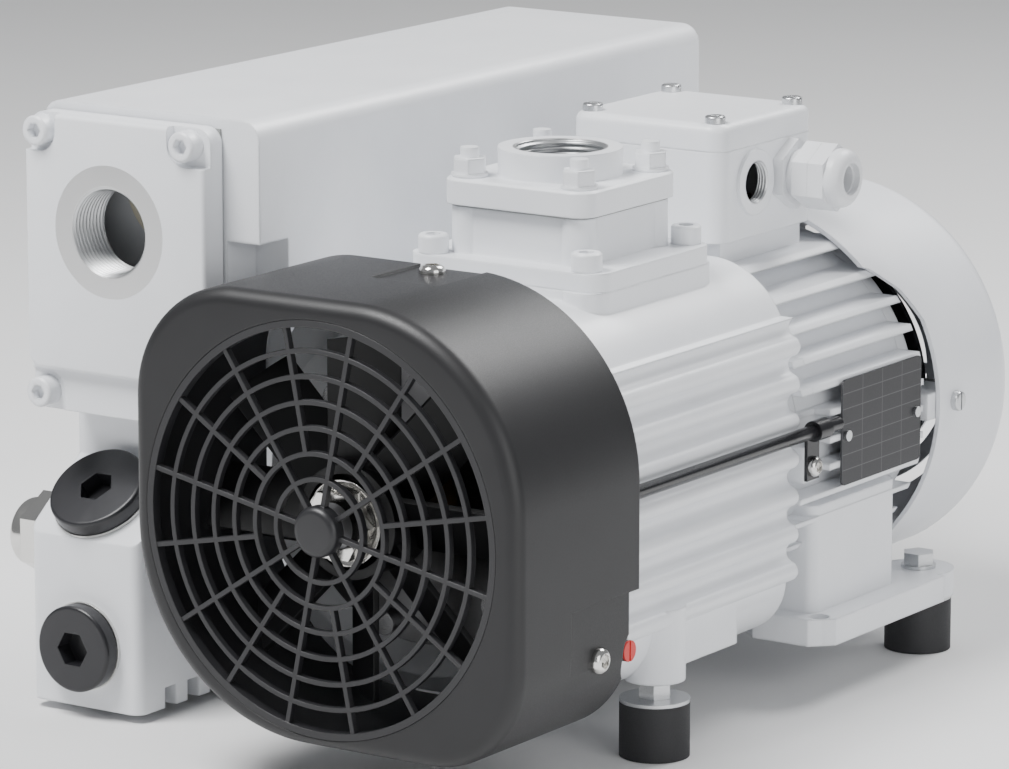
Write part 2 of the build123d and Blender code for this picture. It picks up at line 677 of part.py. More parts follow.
def make_separator_box():
    """Oil separator box with a front partition that carries the filters."""
    body = box(BOX_LEFT, BOX_RIGHT, BOX_FRONT, BOX_BACK, BOX_BOTTOM, BOX_TOP)
    body = fillet(edges_along(body, Axis.Y).group_by(Axis.Z)[-1], 9.0)
    body = fillet(body.faces().sort_by(Axis.Y)[-1].edges().group_by(Axis.Z)[-1], 7.0)
    inner_right = BOX_RIGHT - BOX_WALL
    low, high = BOX_BOTTOM + BOX_WALL, BOX_TOP - BOX_WALL
    tools = [
        box(BOX_LEFT + BOX_WALL, -104.0, BOX_FRONT - 1, PARTITION, low, high),
        box(
            BOX_LEFT + BOX_WALL,
            inner_right,
            PARTITION + PARTITION_THICKNESS,
            BOX_BACK - BOX_WALL,
            low,
            high,
        ),
        box(-98.0, BOX_RIGHT + 1, BOX_FRONT - 1, 92.0, BOX_BOTTOM - 1, COWL_TOP + 3.0),
        box(CASING_LEFT + 14.0, CASING_RIGHT - 8.0, 130.0, 330.0, BOX_BOTTOM - 1, low + 1),
    ]
    tools[1] -= box(
        MOTOR_SIDE_RELIEF - BOX_WALL,
        BOX_RIGHT,
        MOTOR_FRONT - 13.0,
        BOX_BACK,
        low,
        MOTOR_RELIEF_TOP + BOX_WALL,
    )
    front, back = MOTOR_FRONT - 8.0, BOX_BACK + 1
    tools.append(box(MOTOR_SIDE_RELIEF, BOX_RIGHT + 1, front, back, BOX_BOTTOM - 1, MOTOR_RELIEF_TOP))
    for z in FILTER_ZS:
        tools.append(rod_y(25.5, PARTITION - 1, PARTITION + PARTITION_THICKNESS + 1, FILTER_X, z))
    middle = (FILTER_ZS[0] + FILTER_ZS[1]) / 2
    tools.append(rod_y(3.1, PARTITION - 1, PARTITION + PARTITION_THICKNESS + 1, FILTER_X, middle))
    body = cut_all(body, tools)
    for x, z in COVER_SCREWS:
        body += rod_y(7.5, BOX_FRONT, PARTITION, x, z) & box(
            BOX_LEFT, BOX_RIGHT, BOX_FRONT, BOX_BACK, BOX_BOTTOM, BOX_TOP - 3.0
        )
    for x, z in COVER_SCREWS:
        body -= rod_y(M8_RADIUS + SCREW_CLEARANCE, BOX_FRONT - 1, BOX_FRONT + 20.0, x, z)
    for x in (FLOAT_X - 7.0, FLOAT_X + 7.0):
        body += box(x - 1.5, x + 1.5, FLOAT_Y - 6.0, FLOAT_Y + 6.0, BOX_BOTTOM, FLOAT_Z + 6.0)
    body += rod_x(2.0, FLOAT_X - 7.0, FLOAT_X + 7.0, FLOAT_Y, FLOAT_Z)
    return body


def make_float_arm():
    """Float and arm of the oil return valve, turning on a cross pin."""
    arm = rod_x(4.5, FLOAT_X - 4.0, FLOAT_X + 4.0, FLOAT_Y, FLOAT_Z)
    arm += box(FLOAT_X - 2.0, FLOAT_X + 2.0, FLOAT_Y - 40.0, FLOAT_Y - 2.0, FLOAT_Z - 2.0, FLOAT_Z + 2.0)
    float_body = rod_z(11.0, FLOAT_Z - 12.0, FLOAT_Z + 12.0, FLOAT_X, FLOAT_Y - 41.0)
    arm += fillet(float_body.edges(), 3.0)
    return arm - rod_x(2.0 + RUNNING, FLOAT_X - 10.0, FLOAT_X + 10.0, FLOAT_Y, FLOAT_Z)


def make_filters():
    """Two exhaust filter cartridges with flanged front ends."""
    out = []
    for z in FILTER_ZS:
        body = ring_y(25.0, 15.0, PARTITION, 330.0, FILTER_X, z)
        body += ring_y(27.0, 15.0, PARTITION - 6.0, PARTITION, FILTER_X, z)
        body += rod_y(25.0, 326.0, 332.0, FILTER_X, z)
        out.append(body)
    return out


def make_filter_retainer():
    """Bar that holds both cartridges, with its screw."""
    middle = (FILTER_ZS[0] + FILTER_ZS[1]) / 2
    face = PARTITION - 6.0
    bar = box(FILTER_X - 8.0, FILTER_X + 8.0, face - 3.0, face, FILTER_ZS[0] - 10.0, FILTER_ZS[1] + 10.0)
    bar = fillet(edges_along(bar, Axis.Y), 4.0)
    bar -= rod_y(3.1, face - 5.0, face + 2.0, FILTER_X, middle)
    screw = rod_y(3.0, face - 3.0, PARTITION + 5.0, FILTER_X, middle)
    screw += Pos(FILTER_X, face - 3.0, middle) * FACING_FRONT * hexagon(10.0, 4.0)
    return [bar, screw]


def make_exhaust_cover():
    """Cast cover on the front of the separator box with the outlet port."""
    back = BOX_FRONT - GASKET
    plate = box(BOX_LEFT, COVER_RIGHT, CASING_FRONT + 4.0, back, BOX_BOTTOM, BOX_TOP - 3.6)
    plate = fillet(edges_along(plate, Axis.Y), 7.0)
    panel = box(BOX_LEFT, COVER_RIGHT, CASING_FRONT, back, BOX_BOTTOM + COVER_FLANGE, BOX_TOP - 3.6)
    panel = fillet(edges_along(panel, Axis.Y), 7.0)
    panel = fillet(panel.faces().sort_by(Axis.Y)[0].edges(), 2.0)
    body = plate + panel
    for x, z in COVER_SCREWS:
        pocket = rod_y(9.0, CASING_FRONT - 1, CASING_FRONT + 5.0, x, z)
        away_x = BOX_LEFT if x < FILTER_X else COVER_RIGHT
        away_z = BOX_TOP if z > 80.0 else BOX_BOTTOM
        x0, x1 = sorted((x, away_x + math.copysign(5.0, away_x - FILTER_X)))
        z0, z1 = sorted((z, away_z + math.copysign(5.0, away_z - 80.0)))
        xm = x - math.copysign(9.0, away_x - FILTER_X)
        zm = z - math.copysign(9.0, away_z - 80.0)
        a0, a1 = sorted((xm, x1 if away_x > FILTER_X else x0))
        b0, b1 = sorted((zm, z1 if away_z > 80.0 else z0))
        pocket += box(x0, x1, CASING_FRONT - 1, CASING_FRONT + 5.0, b0, b1)
        pocket += box(a0, a1, CASING_FRONT - 1, CASING_FRONT + 5.0, z0, z1)
        body -= pocket
    for x, z in COVER_SCREWS:
        body -= rod_y(M8_RADIUS + SCREW_CLEARANCE, CASING_FRONT - 1, back + 1, x, z)
    body += rod_y(28.5, CASING_FRONT + 2.0, CASING_FRONT + 22.0, EXHAUST_X, EXHAUST_Z)
    body += rod_y(28.5, CASING_FRONT, CASING_FRONT + 4.0, EXHAUST_X, EXHAUST_Z)
    body -= rod_y(PORT_RADIUS, CASING_FRONT - 1, CASING_FRONT + 30.0, EXHAUST_X, EXHAUST_Z)
    return body


def make_gaskets():
    """Flat gaskets: exhaust cover, casing neck and inlet flange."""
    cover = box(BOX_LEFT + 1, COVER_RIGHT - 1, BOX_FRONT - GASKET, BOX_FRONT, BOX_BOTTOM + 1, BOX_TOP - 4.6)
    cover -= box(BOX_LEFT + 6, -105.0, BOX_FRONT - 3, BOX_FRONT + 1, BOX_BOTTOM + 6, BOX_TOP - 8)
    cover += join_all([rod_y(7.0, BOX_FRONT - GASKET, BOX_FRONT, x, z) for x, z in COVER_SCREWS])
    for x, z in COVER_SCREWS:
        cover -= rod_y(M8_RADIUS + SCREW_CLEARANCE, BOX_FRONT - 3, BOX_FRONT + 1, x, z)
    neck = box(
        JOINT_PLANE - GASKET,
        JOINT_PLANE,
        NECK_FRONT + 1,
        NECK_BACK - 1,
        NECK_BOTTOM + 1,
        BOX_BOTTOM - 1,
    )
    neck -= box(JOINT_PLANE - 3, JOINT_PLANE + 1, NECK_FRONT + 22.0, NECK_BACK - 22.0, -50.0, 10.0)
    for y, z in NECK_BOLTS:
        neck -= rod_x(M8_RADIUS + SCREW_CLEARANCE, JOINT_PLANE - 3, JOINT_PLANE + 1, y, z)
    half = BLOCK_SIDE / 2
    low = BASE_TOP + BLOCK_HEIGHT
    inlet = box(INLET_X - half, INLET_X + half, INLET_Y - half, INLET_Y + half, low, low + GASKET)
    inlet = fillet(edges_along(inlet, Axis.Z), 8.0)
    inlet -= rod_z(VALVE_RADIUS + 3.0, low - 1, low + 3, INLET_X, INLET_Y)
    for x, y in stud_points():
        inlet -= rod_z(M8_RADIUS + SCREW_CLEARANCE, low - 1, low + 3, x, y)
    return [cover, neck, inlet]


# ---------------------------------------------------------------- inlet stack
def stud_points():
    """Stud positions on the inlet flange."""
    half = STUD_SQUARE / 2
    return [(INLET_X + sx * half, INLET_Y + sy * half) for sx, sy in BASE_POINTS]


BLOCK_TOP = BASE_TOP + BLOCK_HEIGHT
FLANGE_BOTTOM = BLOCK_TOP + GASKET
FLANGE_TOP = FLANGE_BOTTOM + FLANGE_THICKNESS
NECK_TOP = FLANGE_TOP + NECK_HEIGHT
VALVE_SHELF = BASE_TOP - 3.0
VALVE_THICKNESS = 3.0
STRAINER_SEAT = FLANGE_BOTTOM + 2.0
STRAINER_RADIUS = PORT_RADIUS - 1.0
PORT_FLOOR = STRAINER_SEAT + 1.4


def make_valve_block():
    """Anti suck-back valve housing: base plate and square block with corner bosses."""
    base = box(
        INLET_X - BASE_X / 2,
        INLET_X + BASE_X / 2,
        INLET_Y - BASE_Y / 2,
        INLET_Y + BASE_Y / 2,
        BASE_TOP - BASE_THICKNESS,
        BASE_TOP,
    )
    base = fillet(edges_along(base, Axis.Z), 9.0)
    half = BLOCK_SIDE / 2
    block = box(
        INLET_X - half + 2,
        INLET_X + half - 2,
        INLET_Y - half + 2,
        INLET_Y + half - 2,
        BASE_TOP - 1,
        BLOCK_TOP,
    )
    body = base + fillet(edges_along(block, Axis.Z), 4.0)
    for x, y in stud_points():
        body += rod_z(7.5, BASE_TOP - 1, BLOCK_TOP, x, y)
    tools = [
        rod_z(13.0, BASE_TOP - BASE_THICKNESS - 1, BASE_TOP, INLET_X, INLET_Y),
        rod_z(VALVE_RADIUS + 3.0, VALVE_SHELF, BLOCK_TOP + 1, INLET_X, INLET_Y),
    ]
    for x, y in stud_points():
        tools.append(rod_z(M8_RADIUS + SCREW_CLEARANCE, BLOCK_TOP - 15.0, BLOCK_TOP + 1, x, y))
    for sx, sy in BASE_POINTS:
        x = INLET_X + sx * BASE_SQUARE / 2
        y = INLET_Y + sy * BASE_SQUARE / 2
        tools.append(rod_z(M8_RADIUS + SCREW_CLEARANCE, BASE_TOP - 20, BASE_TOP + 1, x, y))
        tools.append(rod_z(M8_HEAD_RADIUS + 0.3, BASE_TOP, BASE_TOP + 12.0, x, y))
    return cut_all(body, tools)


def make_inlet_flange():
    """Square inlet flange with a threaded neck."""
    half = FLANGE_SIDE / 2
    plate = box(INLET_X - half, INLET_X + half, INLET_Y - half, INLET_Y + half, FLANGE_BOTTOM, FLANGE_TOP)
    plate = fillet(edges_along(plate, Axis.Z), 9.0)
    plate = chamfer(plate.faces().sort_by(Axis.Z)[-1].edges(), 1.0)
    body = plate + rod_z(NECK_RADIUS, FLANGE_TOP - 1, NECK_TOP, INLET_X, INLET_Y)
    body -= rod_z(17.0, FLANGE_BOTTOM - 1, NECK_TOP, INLET_X, INLET_Y)
    body -= rod_z(STRAINER_RADIUS, STRAINER_SEAT, NECK_TOP, INLET_X, INLET_Y)
    body -= rod_z(PORT_RADIUS, PORT_FLOOR, NECK_TOP + 1, INLET_X, INLET_Y)
    for x, y in stud_points():
        body -= rod_z(M8_RADIUS + SCREW_CLEARANCE, FLANGE_BOTTOM - 1, FLANGE_TOP + 1, x, y)
        body -= rod_z(8.2, FLANGE_TOP, FLANGE_TOP + 20.0, x, y)
    return body


def make_stud_sets():
    """Stud, washer and nut at each corner of the inlet flange."""
    out = []
    for x, y in stud_points():
        out.append(rod_z(M8_RADIUS - 0.05, BLOCK_TOP - 14.0, FLANGE_TOP + 12.5, x, y))
        washer = rod_z(7.8, FLANGE_TOP, FLANGE_TOP + 1.6, x, y)
        out.append(washer - rod_z(M8_RADIUS + SCREW_CLEARANCE, FLANGE_TOP - 1, FLANGE_TOP + 3, x, y))
        nut = Pos(x, y, FLANGE_TOP + 1.6) * hexagon(M8_NUT_FLATS, 6.5)
        out.append(nut - rod_z(M8_RADIUS - 0.05, FLANGE_TOP, FLANGE_TOP + 12.0, x, y))
    return out


def make_valve_disc():
    """Valve disc, seated against the underside of the inlet flange."""
    disc = rod_z(VALVE_RADIUS, FLANGE_BOTTOM - VALVE_THICKNESS, FLANGE_BOTTOM, INLET_X, INLET_Y)
    guide = rod_z(9.0, FLANGE_BOTTOM - VALVE_THICKNESS - 6.0, FLANGE_BOTTOM - 1, INLET_X, INLET_Y)
    return disc + guide


def make_valve_spring():
    """Light coil spring under the valve disc."""
    wire = 0.8
    low = VALVE_SHELF + wire
    high = FLANGE_BOTTOM - VALVE_THICKNESS - wire
    turns = 4.0
    path = Helix(pitch=(high - low) / turns, height=high - low, radius=17.0)
    start = path @ 0
    profile = Plane(origin=start, z_dir=path % 0) * Circle(wire)
    coil = sweep(profile, path=path, is_frenet=True)
    return Pos(INLET_X, INLET_Y, low) * coil


def make_strainer():
    """Perforated disc that keeps dirt out of the pump."""
    disc = rod_z(STRAINER_RADIUS - SLIDING, STRAINER_SEAT, STRAINER_SEAT + 1.2, INLET_X, INLET_Y)
    pitch = 5.4
    for i in range(-3, 4):
        for j in range(-3, 4):
            x = pitch * (i + j / 2)
            y = pitch * j * math.sqrt(3) / 2
            if math.hypot(x, y) < 16.0:
                disc -= rod_z(1.9, STRAINER_SEAT - 1, STRAINER_SEAT + 3, INLET_X + x, INLET_Y + y)
    return disc


def make_m8_screws():
    """All M8 socket screws: exhaust cover, valve block base and casing neck."""
    out = []
    for x, z in COVER_SCREWS:
        out.append(Pos(x, CASING_FRONT + 5.0, z) * FACING_FRONT * socket_screw(25.0))
    for sx, sy in BASE_POINTS:
        x = INLET_X + sx * BASE_SQUARE / 2
        y = INLET_Y + sy * BASE_SQUARE / 2
        out.append(Pos(x, y, BASE_TOP) * socket_screw(24.0))
    for y, z in NECK_BOLTS:
        out.append(Pos(JOINT_PLANE - GASKET - 9.0, y, z) * FACING_LEFT * socket_screw(25.0))
    return out


# ---------------------------------------------------------------- fan cowl and grille
def cowl_outline(inset):
    """Uneven rounded square of the fan cowl, drawn in by an inset."""
    left, right = COWL_LEFT + inset, COWL_RIGHT - inset
    low, high = COWL_BOTTOM + inset, COWL_TOP - inset
    plain = Pos((left + right) / 2, (low + high) / 2) * Rectangle(right - left, high - low)
    corners = [(left, high, 50.0), (right, high, 80.0), (right, low, 45.0), (left, low, 85.0)]
    for x, z, radius in corners:
        near = plain.vertices().sort_by_distance((x, z, 0))[0]
        plain = fillet(near, radius - inset)
    return Rot(90, 0, 0) * plain


def make_cowl():
    """Moulded fan cowl, open at the back."""
    outer = extrude(cowl_outline(0.0), COWL_DEPTH, dir=(0, 1, 0))
    outer = fillet(outer.faces().sort_by(Axis.Y)[0].edges(), COWL_EDGE)
    inner = extrude(Pos(0, COWL_WALL, 0) * cowl_outline(COWL_WALL), COWL_DEPTH, dir=(0, 1, 0))
    inner = fillet(inner.faces().sort_by(Axis.Y)[0].edges(), COWL_EDGE - COWL_WALL)
    body = outer - inner
    tools = [
        rod_y(GRILLE_RADIUS + GRILLE_RIM + 0.2, -1, COWL_WALL + 2),
        rod_y(GRILLE_RADIUS + GRILLE_RIM + 1.4, COWL_WALL, COWL_WALL + 2.2),
        box(LUG_X - 13.0, LUG_X + 20.0, 53.0, COWL_DEPTH + 1, COWL_TOP - 1.0, COWL_TOP + 1),
        box(COWL_RIGHT - 1.0, COWL_RIGHT + 1, 39.0, COWL_DEPTH + 1, -66.0, -28.5),
        box(60.0, COWL_RIGHT + 1, COWL_DEPTH - 6.0, COWL_DEPTH + 1, COWL_BOTTOM - 1, -28.5),
        rod_x(12.5, 80.0, COWL_RIGHT + 1, BALLAST_Y, BALLAST_Z),
        rod_z(3.3, COWL_TOP - 10, COWL_TOP + 1, LUG_X, LUG_Y),
        rod_x(3.3, COWL_RIGHT - 10, COWL_RIGHT + 1, SIDE_LUG_Y, SIDE_LUG_Z),
    ]
    return cut_all(body, tools)


def make_grille():
    """Grille insert: rim, rings and spokes about a domed hub."""
    rim_radius = GRILLE_RADIUS + GRILLE_RIM
    body = ring_y(rim_radius, GRILLE_RADIUS, 0, COWL_WALL)
    body += ring_y(rim_radius + 1.2, GRILLE_RADIUS, COWL_WALL, COWL_WALL + 2.0)
    half = GRILLE_RIB / 2
    for i in range(RING_COUNT):
        radius = RING_RADIUS + i * RING_PITCH
        body += ring_y(radius + half, radius - half, 0.4, 0.4 + GRILLE_DEPTH)
    first = RING_RADIUS + RING_PITCH
    for i in range(OUTER_SPOKES):
        spoke = box(first, GRILLE_RADIUS + 0.5, 0.4, 0.4 + GRILLE_DEPTH, -half, half)
        body += Rot(0, 360.0 / OUTER_SPOKES * (i + 0.5), 0) * spoke
    for i in range(INNER_SPOKES):
        spoke = box(HUB_RADIUS - 2.0, first, 0.4, 0.4 + GRILLE_DEPTH, -half, half)
        body += Rot(0, 360.0 / INNER_SPOKES * (i + 0.25), 0) * spoke
    hub = rod_y(HUB_RADIUS, -3.5, 0.4 + GRILLE_DEPTH)
    hub = fillet(hub.faces().sort_by(Axis.Y)[0].edges(), 3.0)
    return body + hub


def make_dome_bolts():
    """Round head bolts of the cowl and of the tube clip."""
    top = Pos(LUG_X, LUG_Y, COWL_TOP - 1.0) * dome_screw(5.5, 3.6, 3.0, 16.0)
    right = Pos(COWL_RIGHT - 1.0, SIDE_LUG_Y, SIDE_LUG_Z) * FACING_RIGHT * dome_screw(5.5, 3.6, 3.0, 16.0)
    clip = Pos(CLIP_FACE + 1.5, CLIP_Y, CLIP_Z) * FACING_RIGHT * dome_screw(4.5, 3.2, 2.5, 12.0)
    return [top, right, clip]


# ---------------------------------------------------------------- gas ballast, tube and clip
CLIP_FACE = 82.0
CLIP_Y = 249.0
CLIP_Z = -9.0
KNOB_RADIUS = 4.5
KNOB_END = 91.5


def make_ballast_fitting():
    """Plated hexagon fitting of the gas ballast valve."""
    hexa = Pos(79.0, BALLAST_Y, BALLAST_Z) * FACING_RIGHT * hexagon(14.0, 3.5)
    stem = rod_x(5.0, 68.0, 79.0, BALLAST_Y, BALLAST_Z)
    spigot = rod_x(2.2, 82.0, 86.0, BALLAST_Y, BALLAST_Z)
    return hexa + stem + spigot


def make_ballast_knob():
    """Turning knob of the gas ballast valve and the slotted disc in its end."""
    knob = rod_x(KNOB_RADIUS, 82.6, KNOB_END - 1.0, BALLAST_Y, BALLAST_Z)
    knob -= rod_x(2.2 + RUNNING, 80.0, 86.1, BALLAST_Y, BALLAST_Z)
    disc = rod_x(KNOB_RADIUS, KNOB_END - 1.0, KNOB_END, BALLAST_Y, BALLAST_Z)
    disc -= box(KNOB_END - 0.6, KNOB_END + 1, BALLAST_Y - 0.6, BALLAST_Y + 0.6, BALLAST_Z - 6, BALLAST_Z + 6)
    return [knob, disc]


TUBE_START = 82.0
TUBE_END = 265.0


def make_air_tube():
    """Black plastic tube along the housing, with its push-in fitting at the front."""
    tube = ring_y(TUBE_RADIUS, TUBE_BORE, TUBE_START, TUBE_END, TUBE_X, TUBE_Z)
    fitting = ring_y(5.0, TUBE_RADIUS, 80.0, 87.0, TUBE_X, TUBE_Z)
    fitting += rod_y(5.0, 78.0, TUBE_START, TUBE_X, TUBE_Z)
    fitting += rod_y(4.0, 71.0, 79.0, TUBE_X, TUBE_Z)
    return [tube, fitting]


def make_tube_clip():
    """P clip round the tube with a flat tab."""
    loop = ring_y(4.6, TUBE_RADIUS, CLIP_Y - 5.0, CLIP_Y + 5.0, TUBE_X, TUBE_Z)
    tab = box(CLIP_FACE, CLIP_FACE + 1.5, CLIP_Y - 5.0, CLIP_Y + 5.0, CLIP_Z - 6.0, TUBE_Z - 1.0)
    tab -= rod_y(TUBE_RADIUS, CLIP_Y - 8.0, CLIP_Y + 8.0, TUBE_X, TUBE_Z)
    tab -= rod_x(2.6, CLIP_FACE - 2, CLIP_FACE + 4, CLIP_Y, CLIP_Z)
    return loop + tab


# ---------------------------------------------------------------- motor
COWL_SCREW_Y = 365.0
ARMATURE_FRONT = 268.0
ARMATURE_BACK = 330.0
BEARING_OUTER = 26.0
BEARING_INNER = 17.0


def make_motor_frame():
    """Finned motor frame with feet and the seat of the terminal box."""
    y0, y1 = FRAME_FRONT, FRAME_BACK
    body = rod_y(MOTOR_RADIUS, y0, y1)
    limit = box(-MOTOR_FIN_TIP, MOTOR_FIN_TIP, y0 - 12.0, y1, -60.0, 90.0) & rod_y(85.5, y0 - 12.0, y1)
    z = -4 * MOTOR_FIN_PITCH
    while z < 74.0:
        bar = box(-90.0, 90.0, y0, y1, z - MOTOR_FIN / 2, z + MOTOR_FIN / 2)
        body += bar & limit
        z += MOTOR_FIN_PITCH
    seat = box(-34.0, 34.0, TERMINAL_FRONT + 8.0, TERMINAL_BACK - 4.0, 50.0, TERMINAL_BOTTOM)
    body += seat
    for side in (-1, 1):
        low, high = sorted((side * 44.0, side * FOOT_REACH))
        plate = box(low, high, y0, REAR_FOOT_Y - 8.0, -SHAFT_HEIGHT, -SHAFT_HEIGHT + FOOT_PLATE)
        plate = chamfer(edges_along(plate, Axis.Z).sort_by(Axis.Y)[:2], 9.0)
        lobe = rod_z(16.0, -SHAFT_HEIGHT, -SHAFT_HEIGHT + FOOT_PLATE, side * REAR_FOOT_X, REAR_FOOT_Y)
        low, high = sorted((side * 46.0, side * 78.0))
        leg = box(low, high, y0 + 10.0, y1 - 12.0, -SHAFT_HEIGHT + 4.0, -30.0)
        body += plate + lobe + fillet(edges_along(leg, Axis.Z), 5.0)
    tools = [
        rod_y(STATOR_RADIUS, y0 - 1, y1 + 1),
        box(76.0, 95.0, y0 - 1, 262.0, -18.0, 16.0),
        rod_x(2.6, CLIP_FACE - 13.0, CLIP_FACE, CLIP_Y, CLIP_Z),
    ]
    for side in (-1, 1):
        hole = rod_z(4.5, -SHAFT_HEIGHT - 1, -60.0, side * REAR_FOOT_X, REAR_FOOT_Y)
        tools.append(hole)
        tools.append(rod_z(4.5, -SHAFT_HEIGHT - 1, -SHAFT_HEIGHT + FOOT_PLATE + 1, side * 82.0, 258.0))
    for y in (275.0, 335.0):
        tools.append(rod_x(1.3, 76.0, MOTOR_FIN_TIP + 1, y, 0.0))
    for x, y in lid_points():
        tools.append(rod_z(2.6, TERMINAL_BOTTOM - 1, TERMINAL_BOTTOM + 1, x, y))
    return cut_all(body, tools)


def make_front_shield():
    """Motor end shield on the pump side, with spigot, bearing seat and clip boss."""
    body = rod_y(MOTOR_RADIUS, MOTOR_FRONT, FRAME_FRONT)
    body += rod_y(END_PLATE_RADIUS - SLIDING, MOTOR_FRONT - 2.0, MOTOR_FRONT + 1)
    body += rod_y(STATOR_RADIUS - SLIDING, FRAME_FRONT - 1, FRAME_FRONT + 2.0)
    body += box(60.0, CLIP_FACE, CLIP_Y - 6.0, FRAME_FRONT, CLIP_Z - 7.0, CLIP_Z + 9.0)
    body += box(76.0, CLIP_FACE, CLIP_Y - 6.0, CLIP_Y + 6.0, CLIP_Z - 7.0, CLIP_Z + 9.0)
    z = -4 * MOTOR_FIN_PITCH
    limit = box(-MOTOR_FIN_TIP, MOTOR_FIN_TIP, MOTOR_FRONT, FRAME_FRONT, -60.0, 90.0)
    limit = limit & rod_y(85.5, MOTOR_FRONT, FRAME_FRONT)
    while z < MOTOR_RADIUS - 1.0:
        if not -20.0 < z < 16.0:
            bar = box(-90.0, 90.0, MOTOR_FRONT + 2.0, FRAME_FRONT, z - MOTOR_FIN / 2, z + MOTOR_FIN / 2)
            body += bar & limit
        z += MOTOR_FIN_PITCH
    tools = [
        rod_y(SHAFT_RADIUS + 1.0, MOTOR_FRONT - 10.0, FRAME_FRONT + 5.0),
        rod_y(BEARING_OUTER, MOTOR_FRONT + 1.0, FRAME_FRONT + 5.0),
        rod_x(2.6, CLIP_FACE - 13.0, CLIP_FACE + 1, CLIP_Y, CLIP_Z),
    ]
    return cut_all(body, tools)


def make_rear_shield():
    """Motor end shield on the fan side, with lugs for the cowl screws."""
    body = rod_y(MOTOR_RADIUS, FRAME_BACK, MOTOR_BACK)
    body += rod_y(STATOR_RADIUS - SLIDING, FRAME_BACK - 2.0, FRAME_BACK + 1)
    reach = MOTOR_COWL_RADIUS - MOTOR_COWL_WALL - 0.4
    for turn in (0.0, 90.0, 180.0):
        lug = box(62.0, reach, FRAME_BACK + 1.0, COWL_SCREW_Y + 5.0, -6.0, 6.0)
        lug -= rod_x(2.6, 70.0, reach + 1, COWL_SCREW_Y, 0.0)
        body += Rot(0, -turn, 0) * (lug - rod_y(68.0, MOTOR_BACK, COWL_SCREW_Y + 6.0))
    tools = [
        rod_y(SHAFT_RADIUS + 1.0, FRAME_BACK - 5.0, MOTOR_BACK + 5.0),
        rod_y(BEARING_OUTER, FRAME_BACK - 5.0, MOTOR_BACK - 1.0),
    ]
    return cut_all(body, tools)


def make_stator():
    """Laminated stator core and the two winding heads."""
    inner = ARMATURE_RADIUS + AIR_GAP
    core = ring_y(STATOR_RADIUS, inner, ARMATURE_FRONT, ARMATURE_BACK)
    for i in range(24):
        slot = Pos(51.5, (ARMATURE_FRONT + ARMATURE_BACK) / 2, 0) * Box(6.0, 70.0, 5.0)
        core -= Rot(0, 15.0 * i, 0) * slot
    front = ring_y(59.0, 48.0, ARMATURE_FRONT - 12.0, ARMATURE_FRONT)
    back = ring_y(59.0, 48.0, ARMATURE_BACK, ARMATURE_BACK + 9.0)
    return [core, fillet(front.edges(), 3.0), fillet(back.edges(), 3.0)]


def make_motor_rotor():
    """Motor shaft with its squirrel cage armature."""
    body = rod_y(ARMATURE_RADIUS, ARMATURE_FRONT, ARMATURE_BACK)
    body += ring_y(40.0, 26.0, ARMATURE_FRONT - 6.0, ARMATURE_BACK + 6.0)
    body += rod_y(SHAFT_RADIUS, JAW_BACK, 385.0)
    return body


def make_bearings():
    """Motor bearings: an outer and an inner ring at each end shield."""
    out = []
    spans = ((MOTOR_FRONT + 1.0, FRAME_FRONT + 2.0), (FRAME_BACK - 2.0, MOTOR_BACK - 1.0))
    for y0, y1 in spans:
        out.append(ring_y(BEARING_OUTER, SHAFT_RADIUS + RUNNING, y0, y1))
    return out


def make_motor_fan():
    """Radial fan on the rear end of the motor shaft."""
    hub = ring_y(20.0, SHAFT_RADIUS, 374.0, 396.0)
    disc = ring_y(66.0, 18.0, 374.0, 377.0)
    fan = hub + disc
    for i in range(7):
        blade = box(18.0, 66.0, 376.0, 394.0, -1.5, 1.5)
        fan += Rot(0, 360.0 / 7 * i, 0) * blade
    return fan + rod_y(19.0, 392.0, 396.0)


def make_motor_cowl():
    """Sheet fan cowl of the motor, slotted at the back."""
    front = 328.0
    outer = rod_y(MOTOR_COWL_RADIUS, front, MOTOR_COWL_BACK)
    outer = fillet(outer.faces().sort_by(Axis.Y)[-1].edges(), 14.0)
    inner = rod_y(MOTOR_COWL_RADIUS - MOTOR_COWL_WALL, front - 1, MOTOR_COWL_BACK - MOTOR_COWL_WALL)
    inner = fillet(inner.faces().sort_by(Axis.Y)[-1].edges(), 12.0)
    body = outer - inner
    step = [(front - 2, -100), (MOTOR_BACK, -100), (MOTOR_BACK, 38), (344, 52), (332, 62), (front - 2, 64)]
    tools = [prism_x(step, -100.0, 100.0)]
    for i in range(5):
        radius = 18.0 + 11.0 * i
        slot = ring_y(radius + 2.4, radius - 2.4, MOTOR_COWL_BACK - 8.0, MOTOR_COWL_BACK + 2.0)
        slot -= box(-100, 100, MOTOR_COWL_BACK - 10, MOTOR_COWL_BACK + 5, -2.5, 2.5)
        slot -= box(-2.5, 2.5, MOTOR_COWL_BACK - 10, MOTOR_COWL_BACK + 5, -100, 100)
        tools.append(slot)
    tools.append(box(-100, 100, front - 2, MOTOR_COWL_BACK + 2, -100, -76.0))
    for turn in (0.0, 90.0, 180.0):
        tools.append(Rot(0, -turn, 0) * rod_x(2.7, 70.0, 100.0, COWL_SCREW_Y, 0.0))
    base = cut_all(body, tools)
    floor = box(-100, 100, MOTOR_BACK, MOTOR_COWL_BACK - 6.0, -76.0, -76.0 + MOTOR_COWL_WALL)
    return base + (floor & rod_y(MOTOR_COWL_RADIUS - 0.5, MOTOR_BACK, MOTOR_COWL_BACK - 6.0))


def lid_points():
    """Screw positions on the terminal box lid."""
    return [
        (sx * (TERMINAL_HALF_WIDTH - 7.5), y)
        for sx in (-1, 1)
        for y in (TERMINAL_FRONT + 7.5, TERMINAL_BACK - 7.5)
    ]


